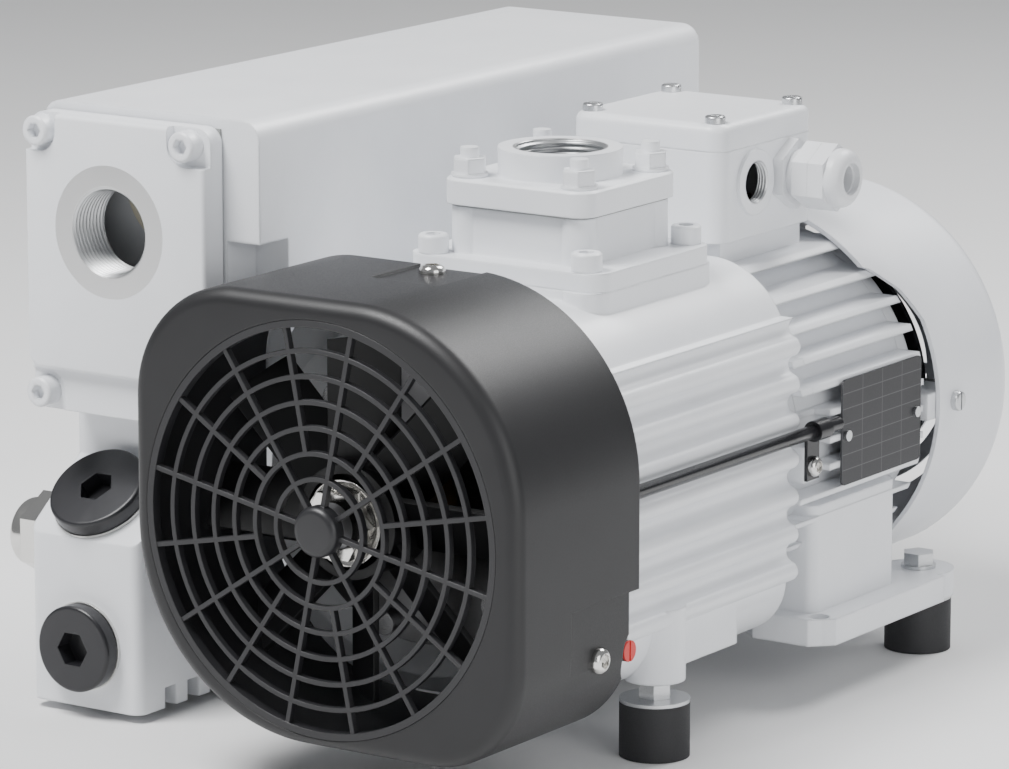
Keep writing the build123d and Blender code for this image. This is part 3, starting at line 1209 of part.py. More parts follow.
def make_slotted_screws():
    """Slotted screws of the motor cowl and of the terminal box lid."""
    out = []
    for turn in (0.0, 90.0, 180.0):
        place = Pos(MOTOR_COWL_RADIUS, COWL_SCREW_Y, 0) * FACING_RIGHT
        out.append(Rot(0, -turn, 0) * place * slotted_screw())
    for x, y in lid_points():
        out.append(Pos(x, y, TERMINAL_TOP) * slotted_screw())
    return out


# ---------------------------------------------------------------- terminal box
def make_terminal_box():
    """Terminal box base with two cable entries on the right."""
    half = TERMINAL_HALF_WIDTH
    body = box(-half, half, TERMINAL_FRONT, TERMINAL_BACK, TERMINAL_BOTTOM, TERMINAL_SEAM)
    body = fillet(edges_along(body, Axis.Z), 8.0)
    body -= fillet(
        edges_along(
            box(
                -half + 4,
                half - 4,
                TERMINAL_FRONT + 4,
                TERMINAL_BACK - 4,
                TERMINAL_BOTTOM + 4,
                TERMINAL_SEAM + 1,
            ),
            Axis.Z,
        ),
        5.0,
    )
    for x, y in lid_points():
        body += rod_z(5.0, TERMINAL_BOTTOM + 2, TERMINAL_SEAM, x, y)
    for x, y in lid_points():
        body -= rod_z(2.6, TERMINAL_SEAM - 14.0, TERMINAL_SEAM + 1, x, y)
    body += rod_x(14.5, half - 2, half + 1.5, ENTRY_Y, ENTRY_Z)
    body -= rod_x(ENTRY_RADIUS, half - 6.0, half + 3, ENTRY_Y, ENTRY_Z)
    body -= rod_x(ENTRY_RADIUS, half - 6.0, half + 3, GLAND_Y, ENTRY_Z)
    return body


def make_terminal_lid():
    """Rounded lid of the terminal box."""
    half = TERMINAL_HALF_WIDTH
    body = box(-half, half, TERMINAL_FRONT, TERMINAL_BACK, TERMINAL_SEAM, TERMINAL_TOP)
    body = fillet(edges_along(body, Axis.Z), 8.0)
    body = fillet(body.faces().sort_by(Axis.Z)[-1].edges(), 4.0)
    body -= box(
        -half + 10,
        half - 10,
        TERMINAL_FRONT + 4,
        TERMINAL_BACK - 4,
        TERMINAL_SEAM - 1,
        TERMINAL_TOP - 4,
    )
    for x, y in lid_points():
        body -= rod_z(2.6, TERMINAL_SEAM - 1, TERMINAL_TOP + 1, x, y)
    return body


def make_terminal_board():
    """Terminal board with six studs."""
    low = TERMINAL_BOTTOM + 4.0
    board = box(-18.0, 18.0, 262.0, 303.0, low, low + 8.0)
    studs = [rod_z(2.5, low + 8.0, low + 22.0, x, y) for x in (-10, 10) for y in (270, 282.5, 295)]
    return [board, *studs]


def make_gland_body():
    """Hexagon body and lock nut of the cable gland."""
    x = TERMINAL_HALF_WIDTH
    body = Pos(x, GLAND_Y, ENTRY_Z) * FACING_RIGHT * hexagon(27.0, 5.0)
    body += rod_x(11.0, x + 5.0, x + 9.0, GLAND_Y, ENTRY_Z)
    body += Pos(x + 9.0, GLAND_Y, ENTRY_Z) * FACING_RIGHT * hexagon(26.0, 8.0)
    body += rod_x(ENTRY_RADIUS - SCREW_CLEARANCE, x - 8.0, x + 1, GLAND_Y, ENTRY_Z)
    return body - rod_x(6.0, x - 10.0, x + 20.0, GLAND_Y, ENTRY_Z)


def make_gland_cap():
    """Domed clamping nut of the cable gland with its rubber insert."""
    x = TERMINAL_HALF_WIDTH + 17.0
    cap = Pos(x, GLAND_Y, ENTRY_Z) * FACING_RIGHT * hexagon(26.0, 8.0)
    dome = Pos(x + 7.0, GLAND_Y, ENTRY_Z) * FACING_RIGHT
    top = Cylinder(13.0, 8.0, align=(Align.CENTER, Align.CENTER, Align.MIN))
    cap += dome * fillet(top.faces().sort_by(Axis.Z)[-1].edges(), 5.0)
    cap -= rod_x(9.0, x - 1, x + 12.0, GLAND_Y, ENTRY_Z)
    cap -= rod_x(7.0, x - 1, x + 20.0, GLAND_Y, ENTRY_Z)
    insert = rod_x(9.0, x, x + 12.0, GLAND_Y, ENTRY_Z) - rod_x(6.0, x - 1, x + 13.0, GLAND_Y, ENTRY_Z)
    return [cap, insert]


def make_nameplate():
    """Blank rating plate on the fin tips."""
    plate = box(MOTOR_FIN_TIP, MOTOR_FIN_TIP + 1.0, 271.0, 339.0, -22.0, 25.0)
    plate = fillet(edges_along(plate, Axis.X), 2.5)
    for y in (275.0, 335.0):
        plate -= rod_x(1.3, MOTOR_FIN_TIP - 1, MOTOR_FIN_TIP + 2, y, 0.0)
    return plate


def make_rivets():
    """Two round head rivets of the rating plate."""
    out = []
    for y in (275.0, 335.0):
        head = rod_x(2.4, MOTOR_FIN_TIP + 1.0, MOTOR_FIN_TIP + 2.2, y, 0.0)
        out.append(head + rod_x(1.2, MOTOR_FIN_TIP - 6.0, MOTOR_FIN_TIP + 1.0, y, 0.0))
    return out


# ---------------------------------------------------------------- feet
FOOT_CAP = 1.5


def foot_points():
    """Positions of the four rubber feet, front pair first."""
    return [
        (-FOOT_X, FRONT_FOOT_Y),
        (FOOT_X, FRONT_FOOT_Y),
        (-REAR_FOOT_X, REAR_FOOT_Y),
        (REAR_FOOT_X, REAR_FOOT_Y),
    ]


def make_rubber_feet():
    """Four rubber feet."""
    out = []
    for x, y in foot_points():
        foot = rod_z(FOOT_DIAMETER / 2, FLOOR, -SHAFT_HEIGHT - FOOT_CAP, x, y)
        foot -= rod_z(M8_RADIUS + SCREW_CLEARANCE, FLOOR + 8.0, -SHAFT_HEIGHT, x, y)
        out.append(foot)
    return out


def make_foot_hardware():
    """Steel caps, studs, nuts, washers and bolts of the feet."""
    out = []
    for x, y in foot_points():
        cap = rod_z(FOOT_DIAMETER / 2, -SHAFT_HEIGHT - FOOT_CAP, -SHAFT_HEIGHT, x, y)
        out.append(cap - rod_z(M8_RADIUS + SCREW_CLEARANCE, -SHAFT_HEIGHT - 4, -SHAFT_HEIGHT + 2, x, y))
    for x, y in foot_points()[:2]:
        stud = rod_z(M8_RADIUS, FLOOR + 9.0, BOSS_BOTTOM + 12.0, x, y)
        nut = Pos(x, y, -SHAFT_HEIGHT) * hexagon(M8_NUT_FLATS, 6.5)
        washer = rod_z(7.8, -SHAFT_HEIGHT + 6.5, BOSS_BOTTOM, x, y)
        out.append(stud + nut)
        out.append(washer - rod_z(M8_RADIUS + SCREW_CLEARANCE, -SHAFT_HEIGHT, BOSS_BOTTOM + 1, x, y))
    for x, y in foot_points()[2:]:
        top = -SHAFT_HEIGHT + FOOT_PLATE
        washer = rod_z(7.8, top, top + 1.6, x, y)
        bolt = Pos(x, y, top + 1.6) * hexagon(M8_NUT_FLATS, 5.5)
        bolt += rod_z(M8_RADIUS, FLOOR + 9.0, top + 1.6, x, y)
        out.append(washer - rod_z(M8_RADIUS + SCREW_CLEARANCE, top - 1, top + 2, x, y))
        out.append(bolt)
    return out


# ---------------------------------------------------------------- the whole pump
SLANT = slant_frame()
NODES = {
    "oil_casing": [make_casing()],
    "separator_box": [make_separator_box()],
    "exhaust_cover": [make_exhaust_cover()],
    "flange_gaskets": make_gaskets(),
    "m8_socket_screws": make_m8_screws(),
    "exhaust_filters": make_filters(),
    "filter_retainer": make_filter_retainer(),
    "float_arm": [make_float_arm()],
    "oil_fill_plug": [SLANT * Pos(0, 0, SEAL_RING) * make_plug(FILL_HEAD, FILL_THREAD, 12.0)],
    "oil_drain_plug": [drain_frame() * Pos(0, 0, SEAL_RING) * make_plug(DRAIN_HEAD, DRAIN_THREAD, 12.0)],
    "plug_seal_rings": [
        SLANT * make_seal_ring(FILL_HEAD + 0.5, FILL_THREAD + SCREW_CLEARANCE),
        drain_frame() * make_seal_ring(DRAIN_HEAD + 0.5, DRAIN_THREAD + SCREW_CLEARANCE),
    ],
    "sight_glass_body": [make_sight_body()],
    "sight_glass_lens": [make_sight_lens()],
    "pump_housing": [make_housing()],
    "front_end_plate": [make_end_plate(FRONT_PLATE_FACE, CHAMBER_FRONT)],
    "rear_end_plate": [make_end_plate(REAR_PLATE_FACE, CHAMBER_BACK)],
    "end_plate_screws": make_end_plate_screws(),
    "shaft_bushes_seals": make_bushes_and_seals(),
    "pump_rotor": [make_rotor()],
    "pump_fan": [make_fan()],
    "fan_nut": make_fan_nut(),
    "pump_coupling_hub": [make_pump_hub()],
    "coupling_spider": [make_spider()],
    "motor_coupling_hub": [make_motor_hub()],
    "fan_cowl": [make_cowl()],
    "fan_grille": [make_grille()],
    "dome_bolts": make_dome_bolts(),
    "valve_block": [make_valve_block()],
    "inlet_flange": [make_inlet_flange()],
    "inlet_stud_sets": make_stud_sets(),
    "suction_valve_disc": [make_valve_disc()],
    "suction_valve_spring": [make_valve_spring()],
    "inlet_strainer": [make_strainer()],
    "exhaust_leaf": [make_leaf()],
    "exhaust_leaf_stop": [make_leaf_stop()],
    "gas_ballast_fitting": [make_ballast_fitting()],
    "gas_ballast_knob": make_ballast_knob(),
    "air_tube": make_air_tube(),
    "tube_clip": [make_tube_clip()],
    "motor_frame": [make_motor_frame()],
    "motor_front_shield": [make_front_shield()],
    "motor_rear_shield": [make_rear_shield()],
    "motor_stator": make_stator(),
    "motor_rotor": [make_motor_rotor()],
    "motor_bearings": make_bearings(),
    "motor_fan": [make_motor_fan()],
    "motor_cowl": [make_motor_cowl()],
    "slotted_screws": make_slotted_screws(),
    "terminal_box": [make_terminal_box()],
    "terminal_lid": [make_terminal_lid()],
    "terminal_board": make_terminal_board(),
    "gland_body": [make_gland_body()],
    "gland_cap": make_gland_cap(),
    "nameplate": [make_nameplate()],
    "nameplate_rivets": make_rivets(),
    "rubber_feet": make_rubber_feet(),
    "foot_hardware": make_foot_hardware(),
}
for i, angle in enumerate(VANE_ANGLES):
    NODES[f"vane_{i + 1}"] = [vane_at(angle)]


def export_all():
    """Move the pump so the middle of its underside is the origin and write one file per node."""
    whole = Compound([solid for pieces in NODES.values() for piece in pieces for solid in piece.solids()])
    size = whole.bounding_box()
    shift = Pos(-(size.min.X + size.max.X) / 2, -(size.min.Y + size.max.Y) / 2, -size.min.Z)
    os.makedirs("parts", exist_ok=True)
    for name, pieces in NODES.items():
        solids = [shift * solid for piece in pieces for solid in piece.solids()]
        node = solids[0] if len(solids) == 1 else Compound(solids)
        export_step(node, f"parts/{name}.step")


export_all()
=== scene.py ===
# %% [markdown]
# # Rotary vane vacuum pump
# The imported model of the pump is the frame: every piece already stands where it belongs. This lesson
# gives each piece the finish of the real one, adds the few surfaces that the frame leaves plain, such
# as the pipe threads, and then sets up a pale floor, soft lights and a camera.

# %% Load the frame
import math

import bmesh
import bpy
import numpy as np
from mathutils import Matrix, Vector


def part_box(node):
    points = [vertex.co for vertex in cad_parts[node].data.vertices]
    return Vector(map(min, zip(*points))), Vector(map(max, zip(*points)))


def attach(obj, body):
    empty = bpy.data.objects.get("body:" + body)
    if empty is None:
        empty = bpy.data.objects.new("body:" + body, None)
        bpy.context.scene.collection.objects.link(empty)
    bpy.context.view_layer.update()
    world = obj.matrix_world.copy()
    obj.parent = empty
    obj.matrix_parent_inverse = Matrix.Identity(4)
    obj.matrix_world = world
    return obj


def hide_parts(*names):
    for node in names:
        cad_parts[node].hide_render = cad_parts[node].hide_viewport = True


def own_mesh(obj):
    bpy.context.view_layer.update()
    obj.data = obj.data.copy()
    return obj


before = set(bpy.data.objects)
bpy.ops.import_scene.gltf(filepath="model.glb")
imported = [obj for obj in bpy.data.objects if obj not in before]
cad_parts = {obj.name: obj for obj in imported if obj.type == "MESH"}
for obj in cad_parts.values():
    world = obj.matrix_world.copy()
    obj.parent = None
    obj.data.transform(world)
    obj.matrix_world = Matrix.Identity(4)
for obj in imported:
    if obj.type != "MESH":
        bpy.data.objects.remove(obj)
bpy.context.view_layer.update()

# %% [markdown]
# ## Where the shaft is
# Most sizes on a pump like this are measured from its shaft. The motor rotor is round about the
# shaft, so the middle of its box gives the shaft's place, and the front of the fan cowl gives the
# plane of the grille. Positions below are written in millimetres from that point.

# %% Shaft axis and grille plane
rotor_low, rotor_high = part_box("motor_rotor")
cowl_low, cowl_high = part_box("fan_cowl")
shaft = Vector(
    (
        (rotor_low[0] + rotor_high[0]) / 2,
        cowl_low[1],
        (rotor_low[2] + rotor_high[2]) / 2,
    )
)


def at(x, y, z):
    """Point x, y, z mm from the grille's centre: each length over 1000, added to the shaft's place."""
    return shaft + Vector((x, y, z)) / 1000


print("shaft", [round(v, 4) for v in shaft])

# %% [markdown]
# ## A kit of shader steps
# Every finish below is built from the same few steps, so each step is a small function: a noise at a
# real size, a bump made from it, and a soft edge. The Bevel node rounds the shading normal near an
# edge, as a casting's or a moulding's edge is rounded, without touching the mesh.


# %% Shader helpers
def new_material(name):
    """A material with a node tree, its Principled shader and the position on the object, in metres."""
    made = bpy.data.materials.new(name)
    made.use_nodes = True
    tree = made.node_tree
    shader = tree.nodes["Principled BSDF"]
    place = tree.nodes.new("ShaderNodeTexCoord").outputs["Object"]
    return made, tree, shader, place


def noise(tree, place, size_mm, detail=3.0, rough=0.55):
    """Noise whose blotches are about size_mm across: its scale is 1000 over that size."""
    node = tree.nodes.new("ShaderNodeTexNoise")
    node.inputs["Scale"].default_value = 1000.0 / size_mm
    node.inputs["Detail"].default_value = detail
    node.inputs["Roughness"].default_value = rough
    tree.links.new(place, node.inputs["Vector"])
    return node.outputs["Fac"]


def span(tree, value, low, high, from_low=0.3, from_high=0.7):
    """Carries a value from one range to another in a straight line, clamped at both ends."""
    node = tree.nodes.new("ShaderNodeMapRange")
    node.inputs["From Min"].default_value = from_low
    node.inputs["From Max"].default_value = from_high
    node.inputs["To Min"].default_value = low
    node.inputs["To Max"].default_value = high
    tree.links.new(value, node.inputs["Value"])
    return node.outputs["Result"]


def blend_colour(tree, amount, first, second):
    """Mixes two colours, or colour outputs, by an amount from 0 to 1."""
    node = tree.nodes.new("ShaderNodeMix")
    node.data_type = "RGBA"
    tree.links.new(amount, node.inputs["Factor"])
    for socket, colour in ((node.inputs[6], first), (node.inputs[7], second)):
        if isinstance(colour, tuple):
            socket.default_value = (*colour, 1.0)
        else:
            tree.links.new(colour, socket)
    return node.outputs[2]


def bump(tree, height, depth_mm, under=None):
    """Bump of a real depth: the height from 0 to 1 stands for depth_mm."""
    node = tree.nodes.new("ShaderNodeBump")
    node.inputs["Distance"].default_value = depth_mm / 1000.0
    tree.links.new(height, node.inputs["Height"])
    if under is not None:
        tree.links.new(under, node.inputs["Normal"])
    return node.outputs["Normal"]


def soft_edge(tree, radius_mm):
    """Shading normal rounded within a radius of each edge."""
    node = tree.nodes.new("ShaderNodeBevel")
    node.samples = 4
    node.inputs["Radius"].default_value = radius_mm / 1000.0
    return node.outputs["Normal"]


print("shader steps ready")

# %% [markdown]
# ## Painted, moulded and metal finishes
# One recipe makes them all: a colour that drifts a little over the part, a roughness that drifts with
# it, a slow wave from the casting or moulding, a fine grain on top, and a soft edge. What differs is
# the numbers: a casting is wavy and softly rounded, sheet metal is smooth, grained plastic has a fine
# regular texture, and turned steel keeps tight edges.


# %% The shared recipe
def finish(name, colour, drift, roughness, metal=0.0, wave=(14.0, 0.05), grain=(0.6, 0.02), edge=0.8, coat=0.0):
    """Colour, roughness, wave and grain as noises of real size, over an edge rounded by the Bevel node."""
    made, tree, shader, place = new_material(name)
    slow = noise(tree, place, 45.0)
    fine = noise(tree, place, grain[0], 2.0)
    wide = noise(tree, place, wave[0], 2.0)
    tree.links.new(blend_colour(tree, span(tree, slow, 0.0, 1.0), colour, drift), shader.inputs["Base Color"])
    tree.links.new(span(tree, fine, roughness[0], roughness[1]), shader.inputs["Roughness"])
    shader.inputs["Metallic"].default_value = metal
    shader.inputs["Coat Weight"].default_value = coat
    shader.inputs["Coat Roughness"].default_value = 0.25
    normal = bump(tree, wide, wave[1], soft_edge(tree, edge))
    tree.links.new(bump(tree, fine, grain[1], normal), shader.inputs["Normal"])
    return made


casting_paint = finish(
    "casting_paint",
    (0.84, 0.855, 0.88),
    (0.79, 0.805, 0.835),
    (0.30, 0.42),
    wave=(9.0, 0.10),
    grain=(0.9, 0.035),
    edge=1.6,
    coat=0.25,
)
sheet_paint = finish(
    "sheet_paint",
    (0.82, 0.835, 0.865),
    (0.78, 0.795, 0.83),
    (0.28, 0.36),
    wave=(40.0, 0.08),
    grain=(0.7, 0.012),
    edge=0.6,
    coat=0.2,
)
cowl_plastic = finish(
    "cowl_plastic",
    (0.0085, 0.0085, 0.0095),
    (0.012, 0.012, 0.0135),
    (0.40, 0.54),
    wave=(30.0, 0.05),
    grain=(0.45, 0.03),
    edge=1.2,
)
grille_plastic = finish(
    "grille_plastic",
    (0.014, 0.014, 0.016),
    (0.019, 0.019, 0.021),
    (0.34, 0.46),
    grain=(0.5, 0.015),
    edge=0.6,
)
fan_plastic = finish(
    "fan_plastic",
    (0.006, 0.006, 0.007),
    (0.009, 0.009, 0.010),
    (0.30, 0.45),
    grain=(0.5, 0.01),
    edge=0.8,
)
plug_plastic = finish(
    "plug_plastic",
    (0.012, 0.012, 0.014),
    (0.018, 0.018, 0.021),
    (0.28, 0.36),
    grain=(0.4, 0.01),
    edge=0.8,
)
tube_plastic = finish(
    "tube_plastic",
    (0.008, 0.008, 0.010),
    (0.012, 0.012, 0.014),
    (0.16, 0.24),
    grain=(0.8, 0.006),
    edge=0.4,
)
rubber = finish(
    "rubber",
    (0.018, 0.018, 0.020),
    (0.026, 0.026, 0.028),
    (0.55, 0.72),
    grain=(0.5, 0.03),
    edge=0.8,
)
gasket_fibre = finish(
    "gasket_fibre",
    (0.30, 0.31, 0.30),
    (0.24, 0.25, 0.25),
    (0.7, 0.85),
    grain=(0.3, 0.03),
    edge=0.1,
)
nickel = finish(
    "nickel",
    (0.76, 0.75, 0.72),
    (0.68, 0.67, 0.65),
    (0.10, 0.20),
    metal=1.0,
    wave=(12.0, 0.01),
    grain=(0.5, 0.004),
    edge=0.5,
)
zinc = finish(
    "zinc",
    (0.66, 0.67, 0.68),
    (0.58, 0.59, 0.60),
    (0.25, 0.38),
    metal=1.0,
    wave=(6.0, 0.01),
    grain=(0.3, 0.006),
    edge=0.4,
)
machined_iron = finish(
    "machined_iron",
    (0.34, 0.34, 0.35),
    (0.28, 0.28, 0.29),
    (0.32, 0.45),
    metal=1.0,
    grain=(0.3, 0.01),
    edge=0.4,
)
turned_steel = finish(
    "turned_steel",
    (0.56, 0.56, 0.57),
    (0.48, 0.48, 0.50),
    (0.22, 0.34),
    metal=1.0,
    grain=(0.25, 0.006),
    edge=0.3,
)
bronze = finish(
    "bronze",
    (0.60, 0.42, 0.20),
    (0.52, 0.36, 0.17),
    (0.30, 0.42),
    metal=1.0,
    grain=(0.25, 0.008),
    edge=0.3,
)
vane_composite = finish(
    "vane_composite",
    (0.045, 0.042, 0.038),
    (0.060, 0.056, 0.050),
    (0.45, 0.6),
    grain=(0.2, 0.01),
    edge=0.3,
)
coupling_rubber = finish(
    "coupling_rubber",
    (0.42, 0.05, 0.03),
    (0.34, 0.04, 0.03),
    (0.42, 0.55),
    grain=(0.5, 0.01),
    edge=0.8,
)
filter_cloth = finish(
    "filter_cloth",
    (0.74, 0.70, 0.56),
    (0.66, 0.62, 0.48),
    (0.85, 0.95),
    wave=(4.0, 0.3),
    grain=(0.4, 0.15),
    edge=0.3,
)
light_plastic = finish(
    "light_plastic",
    (0.76, 0.77, 0.79),
    (0.72, 0.73, 0.75),
    (0.30, 0.40),
    grain=(0.5, 0.01),
    edge=0.7,
)
board_plastic = finish(
    "board_plastic",
    (0.10, 0.06, 0.03),
    (0.13, 0.08, 0.04),
    (0.4, 0.5),
    grain=(0.4, 0.01),
    edge=0.4,
)
cast_aluminium = finish(
    "cast_aluminium",
    (0.62, 0.63, 0.64),
    (0.54, 0.55, 0.56),
    (0.30, 0.42),
    metal=1.0,
    grain=(0.4, 0.01),
    edge=0.4,
)
ring_aluminium = finish(
    "ring_aluminium",
    (0.72, 0.72, 0.70),
    (0.64, 0.64, 0.62),
    (0.24, 0.34),
    metal=1.0,
    grain=(0.3, 0.006),
    edge=0.2,
)
print("finishes", len(bpy.data.materials))

# %% [markdown]
# ## Paint that stops at a machined face
# The port rings are painted with the casting and then machined, so bright metal starts at an exact
# radius from the port's axis. The material measures that radius from the position on the object and
# switches from paint to metal there. Fine rings from the turning tool run round the bright part.


# %% Paint with a machined port
def machined_port(name, centre, axis, radius_mm, floor_mm, side):
    """Casting paint, and turned metal where the distance from an axis is under a radius and past a plane."""
    made, tree, shader, place = new_material(name)
    shift = tree.nodes.new("ShaderNodeVectorMath")
    shift.operation = "SUBTRACT"
    shift.inputs[1].default_value = centre
    tree.links.new(place, shift.inputs[0])
    split = tree.nodes.new("ShaderNodeSeparateXYZ")
    tree.links.new(shift.outputs[0], split.inputs[0])
    across = [letter for letter in "XYZ" if letter != axis]
    flat = tree.nodes.new("ShaderNodeCombineXYZ")
    for flat_in, split_out in zip(("X", "Y"), across):
        tree.links.new(split.outputs[split_out], flat.inputs[flat_in])
    length = tree.nodes.new("ShaderNodeVectorMath")
    length.operation = "LENGTH"
    tree.links.new(flat.outputs[0], length.inputs[0])
    inside = tree.nodes.new("ShaderNodeMath")
    inside.operation = "LESS_THAN"
    inside.inputs[1].default_value = radius_mm / 1000
    tree.links.new(length.outputs["Value"], inside.inputs[0])
    beyond = tree.nodes.new("ShaderNodeMath")
    beyond.operation = "GREATER_THAN" if side > 0 else "LESS_THAN"
    beyond.inputs[1].default_value = floor_mm / 1000
    tree.links.new(split.outputs[axis], beyond.inputs[0])
    both = tree.nodes.new("ShaderNodeMath")
    both.operation = "MULTIPLY"
    tree.links.new(inside.outputs[0], both.inputs[0])
    tree.links.new(beyond.outputs[0], both.inputs[1])
    bright = both.outputs[0]
    slow = noise(tree, place, 45.0)
    fine = noise(tree, place, 0.9, 2.0)
    wide = noise(tree, place, 9.0, 2.0)
    paint = blend_colour(tree, span(tree, slow, 0.0, 1.0), (0.84, 0.855, 0.88), (0.79, 0.805, 0.835))
    tree.links.new(blend_colour(tree, bright, paint, (0.74, 0.74, 0.74)), shader.inputs["Base Color"])
    tree.links.new(bright, shader.inputs["Metallic"])
    tree.links.new(span(tree, fine, 0.30, 0.40), shader.inputs["Roughness"])
    shader.inputs["Coat Weight"].default_value = 0.15
    shader.inputs["Coat Roughness"].default_value = 0.25
    rings = tree.nodes.new("ShaderNodeMath")
    rings.operation = "SINE"
    turns = tree.nodes.new("ShaderNodeMath")
    turns.operation = "MULTIPLY"
    turns.inputs[1].default_value = 2 * math.pi / 0.0006
    tree.links.new(length.outputs["Value"], turns.inputs[0])
    tree.links.new(turns.outputs[0], rings.inputs[0])
    marks = tree.nodes.new("ShaderNodeMath")
    marks.operation = "MULTIPLY"
    tree.links.new(rings.outputs[0], marks.inputs[0])
    tree.links.new(bright, marks.inputs[1])
    rough = tree.nodes.new("ShaderNodeMath")
    rough.operation = "MULTIPLY_ADD"
    dull = tree.nodes.new("ShaderNodeMath")
    dull.operation = "SUBTRACT"
    dull.inputs[0].default_value = 1.0
    tree.links.new(bright, dull.inputs[1])
    tree.links.new(wide, rough.inputs[0])
    tree.links.new(dull.outputs[0], rough.inputs[1])
    rough.inputs[2].default_value = 0.0
    normal = bump(tree, rough.outputs[0], 0.10, soft_edge(tree, 0.9))
    tree.links.new(bump(tree, marks.outputs[0], 0.004, normal), shader.inputs["Normal"])
    return made


cover_paint = machined_port("cover_paint", tuple(at(-150, 58, 98.4)), "Y", 28.6, 40.0, -1)
flange_paint = machined_port("flange_paint", tuple(at(8, 165, 135.5)), "Z", 20.2, -30.0, 1)
entry_paint = machined_port("entry_paint", tuple(at(39, 270.7, 108)), "X", 9.6, -8.0, 1)
print("port finishes ready")

# %% [markdown]
# ## Glass, the red knob end and the rating plate
# The sight glass is thick clear glass, so it is all transmission. The gas ballast knob is black with a
# red end, and both are in one node, so the colour changes at a plane. The rating plate is dark anodised
# sheet with a light printed border and empty ruled boxes, which stand in for its print.

# %% Sight glass
lens_glass, tree, shader, place = new_material("lens_glass")
shader.inputs["Transmission Weight"].default_value = 1.0
shader.inputs["IOR"].default_value = 1.5
shader.inputs["Base Color"].default_value = (0.93, 0.95, 0.90, 1.0)
tree.links.new(span(tree, noise(tree, place, 3.0), 0.02, 0.06), shader.inputs["Roughness"])


# %% Knob, black with a red end
def beyond_plane(tree, place, axis, where):
    """1 where one coordinate is past a value, else 0."""
    split = tree.nodes.new("ShaderNodeSeparateXYZ")
    tree.links.new(place, split.inputs[0])
    past = tree.nodes.new("ShaderNodeMath")
    past.operation = "GREATER_THAN"
    past.inputs[1].default_value = where
    tree.links.new(split.outputs[axis], past.inputs[0])
    return past.outputs[0]


knob_finish, tree, shader, place = new_material("knob_finish")
knob_low, knob_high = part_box("gas_ballast_knob")
red_end = beyond_plane(tree, place, "X", knob_high[0] - 0.00095)
tree.links.new(blend_colour(tree, red_end, (0.012, 0.012, 0.014), (0.62, 0.025, 0.02)), shader.inputs["Base Color"])
tree.links.new(span(tree, noise(tree, place, 0.6), 0.3, 0.42), shader.inputs["Roughness"])
tree.links.new(soft_edge(tree, 0.4), shader.inputs["Normal"])

# %% Rating plate
plate_low, plate_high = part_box("nameplate")
plate_finish, tree, shader, place = new_material("plate_finish")
plate_map = tree.nodes.new("ShaderNodeMapping")
plate_map.vector_type = "POINT"
plate_map.inputs["Location"].default_value = (-plate_low[1], -plate_low[2], 0.0)
swap = tree.nodes.new("ShaderNodeSeparateXYZ")
tree.links.new(place, swap.inputs[0])
join = tree.nodes.new("ShaderNodeCombineXYZ")
tree.links.new(swap.outputs["Y"], join.inputs["X"])
tree.links.new(swap.outputs["Z"], join.inputs["Y"])
tree.links.new(join.outputs[0], plate_map.inputs["Vector"])
cells = tree.nodes.new("ShaderNodeTexBrick")
cells.inputs["Scale"].default_value = 1.0
cells.inputs["Brick Width"].default_value = 0.017
cells.inputs["Row Height"].default_value = 0.0068
cells.inputs["Mortar Size"].default_value = 0.00022
cells.inputs["Mortar Smooth"].default_value = 0.1
cells.offset = 0.0
cells.inputs["Color1"].default_value = (0.020, 0.020, 0.023, 1.0)
cells.inputs["Color2"].default_value = (0.020, 0.020, 0.023, 1.0)
cells.inputs["Mortar"].default_value = (0.075, 0.075, 0.08, 1.0)
tree.links.new(plate_map.outputs[0], cells.inputs["Vector"])
tree.links.new(cells.outputs["Color"], shader.inputs["Base Color"])
tree.links.new(span(tree, noise(tree, place, 0.5), 0.30, 0.42), shader.inputs["Roughness"])
shader.inputs["Metallic"].default_value = 0.35
tree.links.new(soft_edge(tree, 0.2), shader.inputs["Normal"])
print("glass, knob and plate ready")

# %% [markdown]
# ## Smooth shading on the frame's pieces
# The frame's meshes are loose triangles, so a round piece would show its facets. A small geometry node
# modifier merges the doubled points, shades every face smooth, and keeps an edge sharp where the faces
# meet at more than a set angle. The piece's own mesh stays as it was.


# %% The smoothing modifier
def smoothing_group(angle_degrees):
    """Merge by distance, then smooth shading with edges over an angle kept sharp."""
    group = bpy.data.node_groups.new("smooth_by_angle", "GeometryNodeTree")
    group.interface.new_socket("Geometry", in_out="INPUT", socket_type="NodeSocketGeometry")
    group.interface.new_socket("Geometry", in_out="OUTPUT", socket_type="NodeSocketGeometry")
    start = group.nodes.new("NodeGroupInput")
    end = group.nodes.new("NodeGroupOutput")
    merge = group.nodes.new("GeometryNodeMergeByDistance")
    merge.inputs["Distance"].default_value = 2e-6
    angle = group.nodes.new("GeometryNodeInputMeshEdgeAngle")
    flat = group.nodes.new("FunctionNodeCompare")
    flat.operation = "LESS_EQUAL"
    flat.inputs["B"].default_value = math.radians(angle_degrees)
    edges = group.nodes.new("GeometryNodeSetShadeSmooth")
    edges.domain = "EDGE"
    faces = group.nodes.new("GeometryNodeSetShadeSmooth")
    faces.domain = "FACE"
    link = group.links.new
    link(start.outputs[0], merge.inputs["Geometry"])
    link(merge.outputs["Geometry"], faces.inputs["Geometry"])
    link(faces.outputs["Geometry"], edges.inputs["Geometry"])
    link(angle.outputs["Unsigned Angle"], flat.inputs["A"])
    link(flat.outputs["Result"], edges.inputs["Shade Smooth"])
    link(edges.outputs["Geometry"], end.inputs[0])
    return group


smooth_group = smoothing_group(32.0)
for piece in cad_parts.values():
    piece.modifiers.new("smooth", "NODES").node_group = smooth_group
print("smoothed", len(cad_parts))

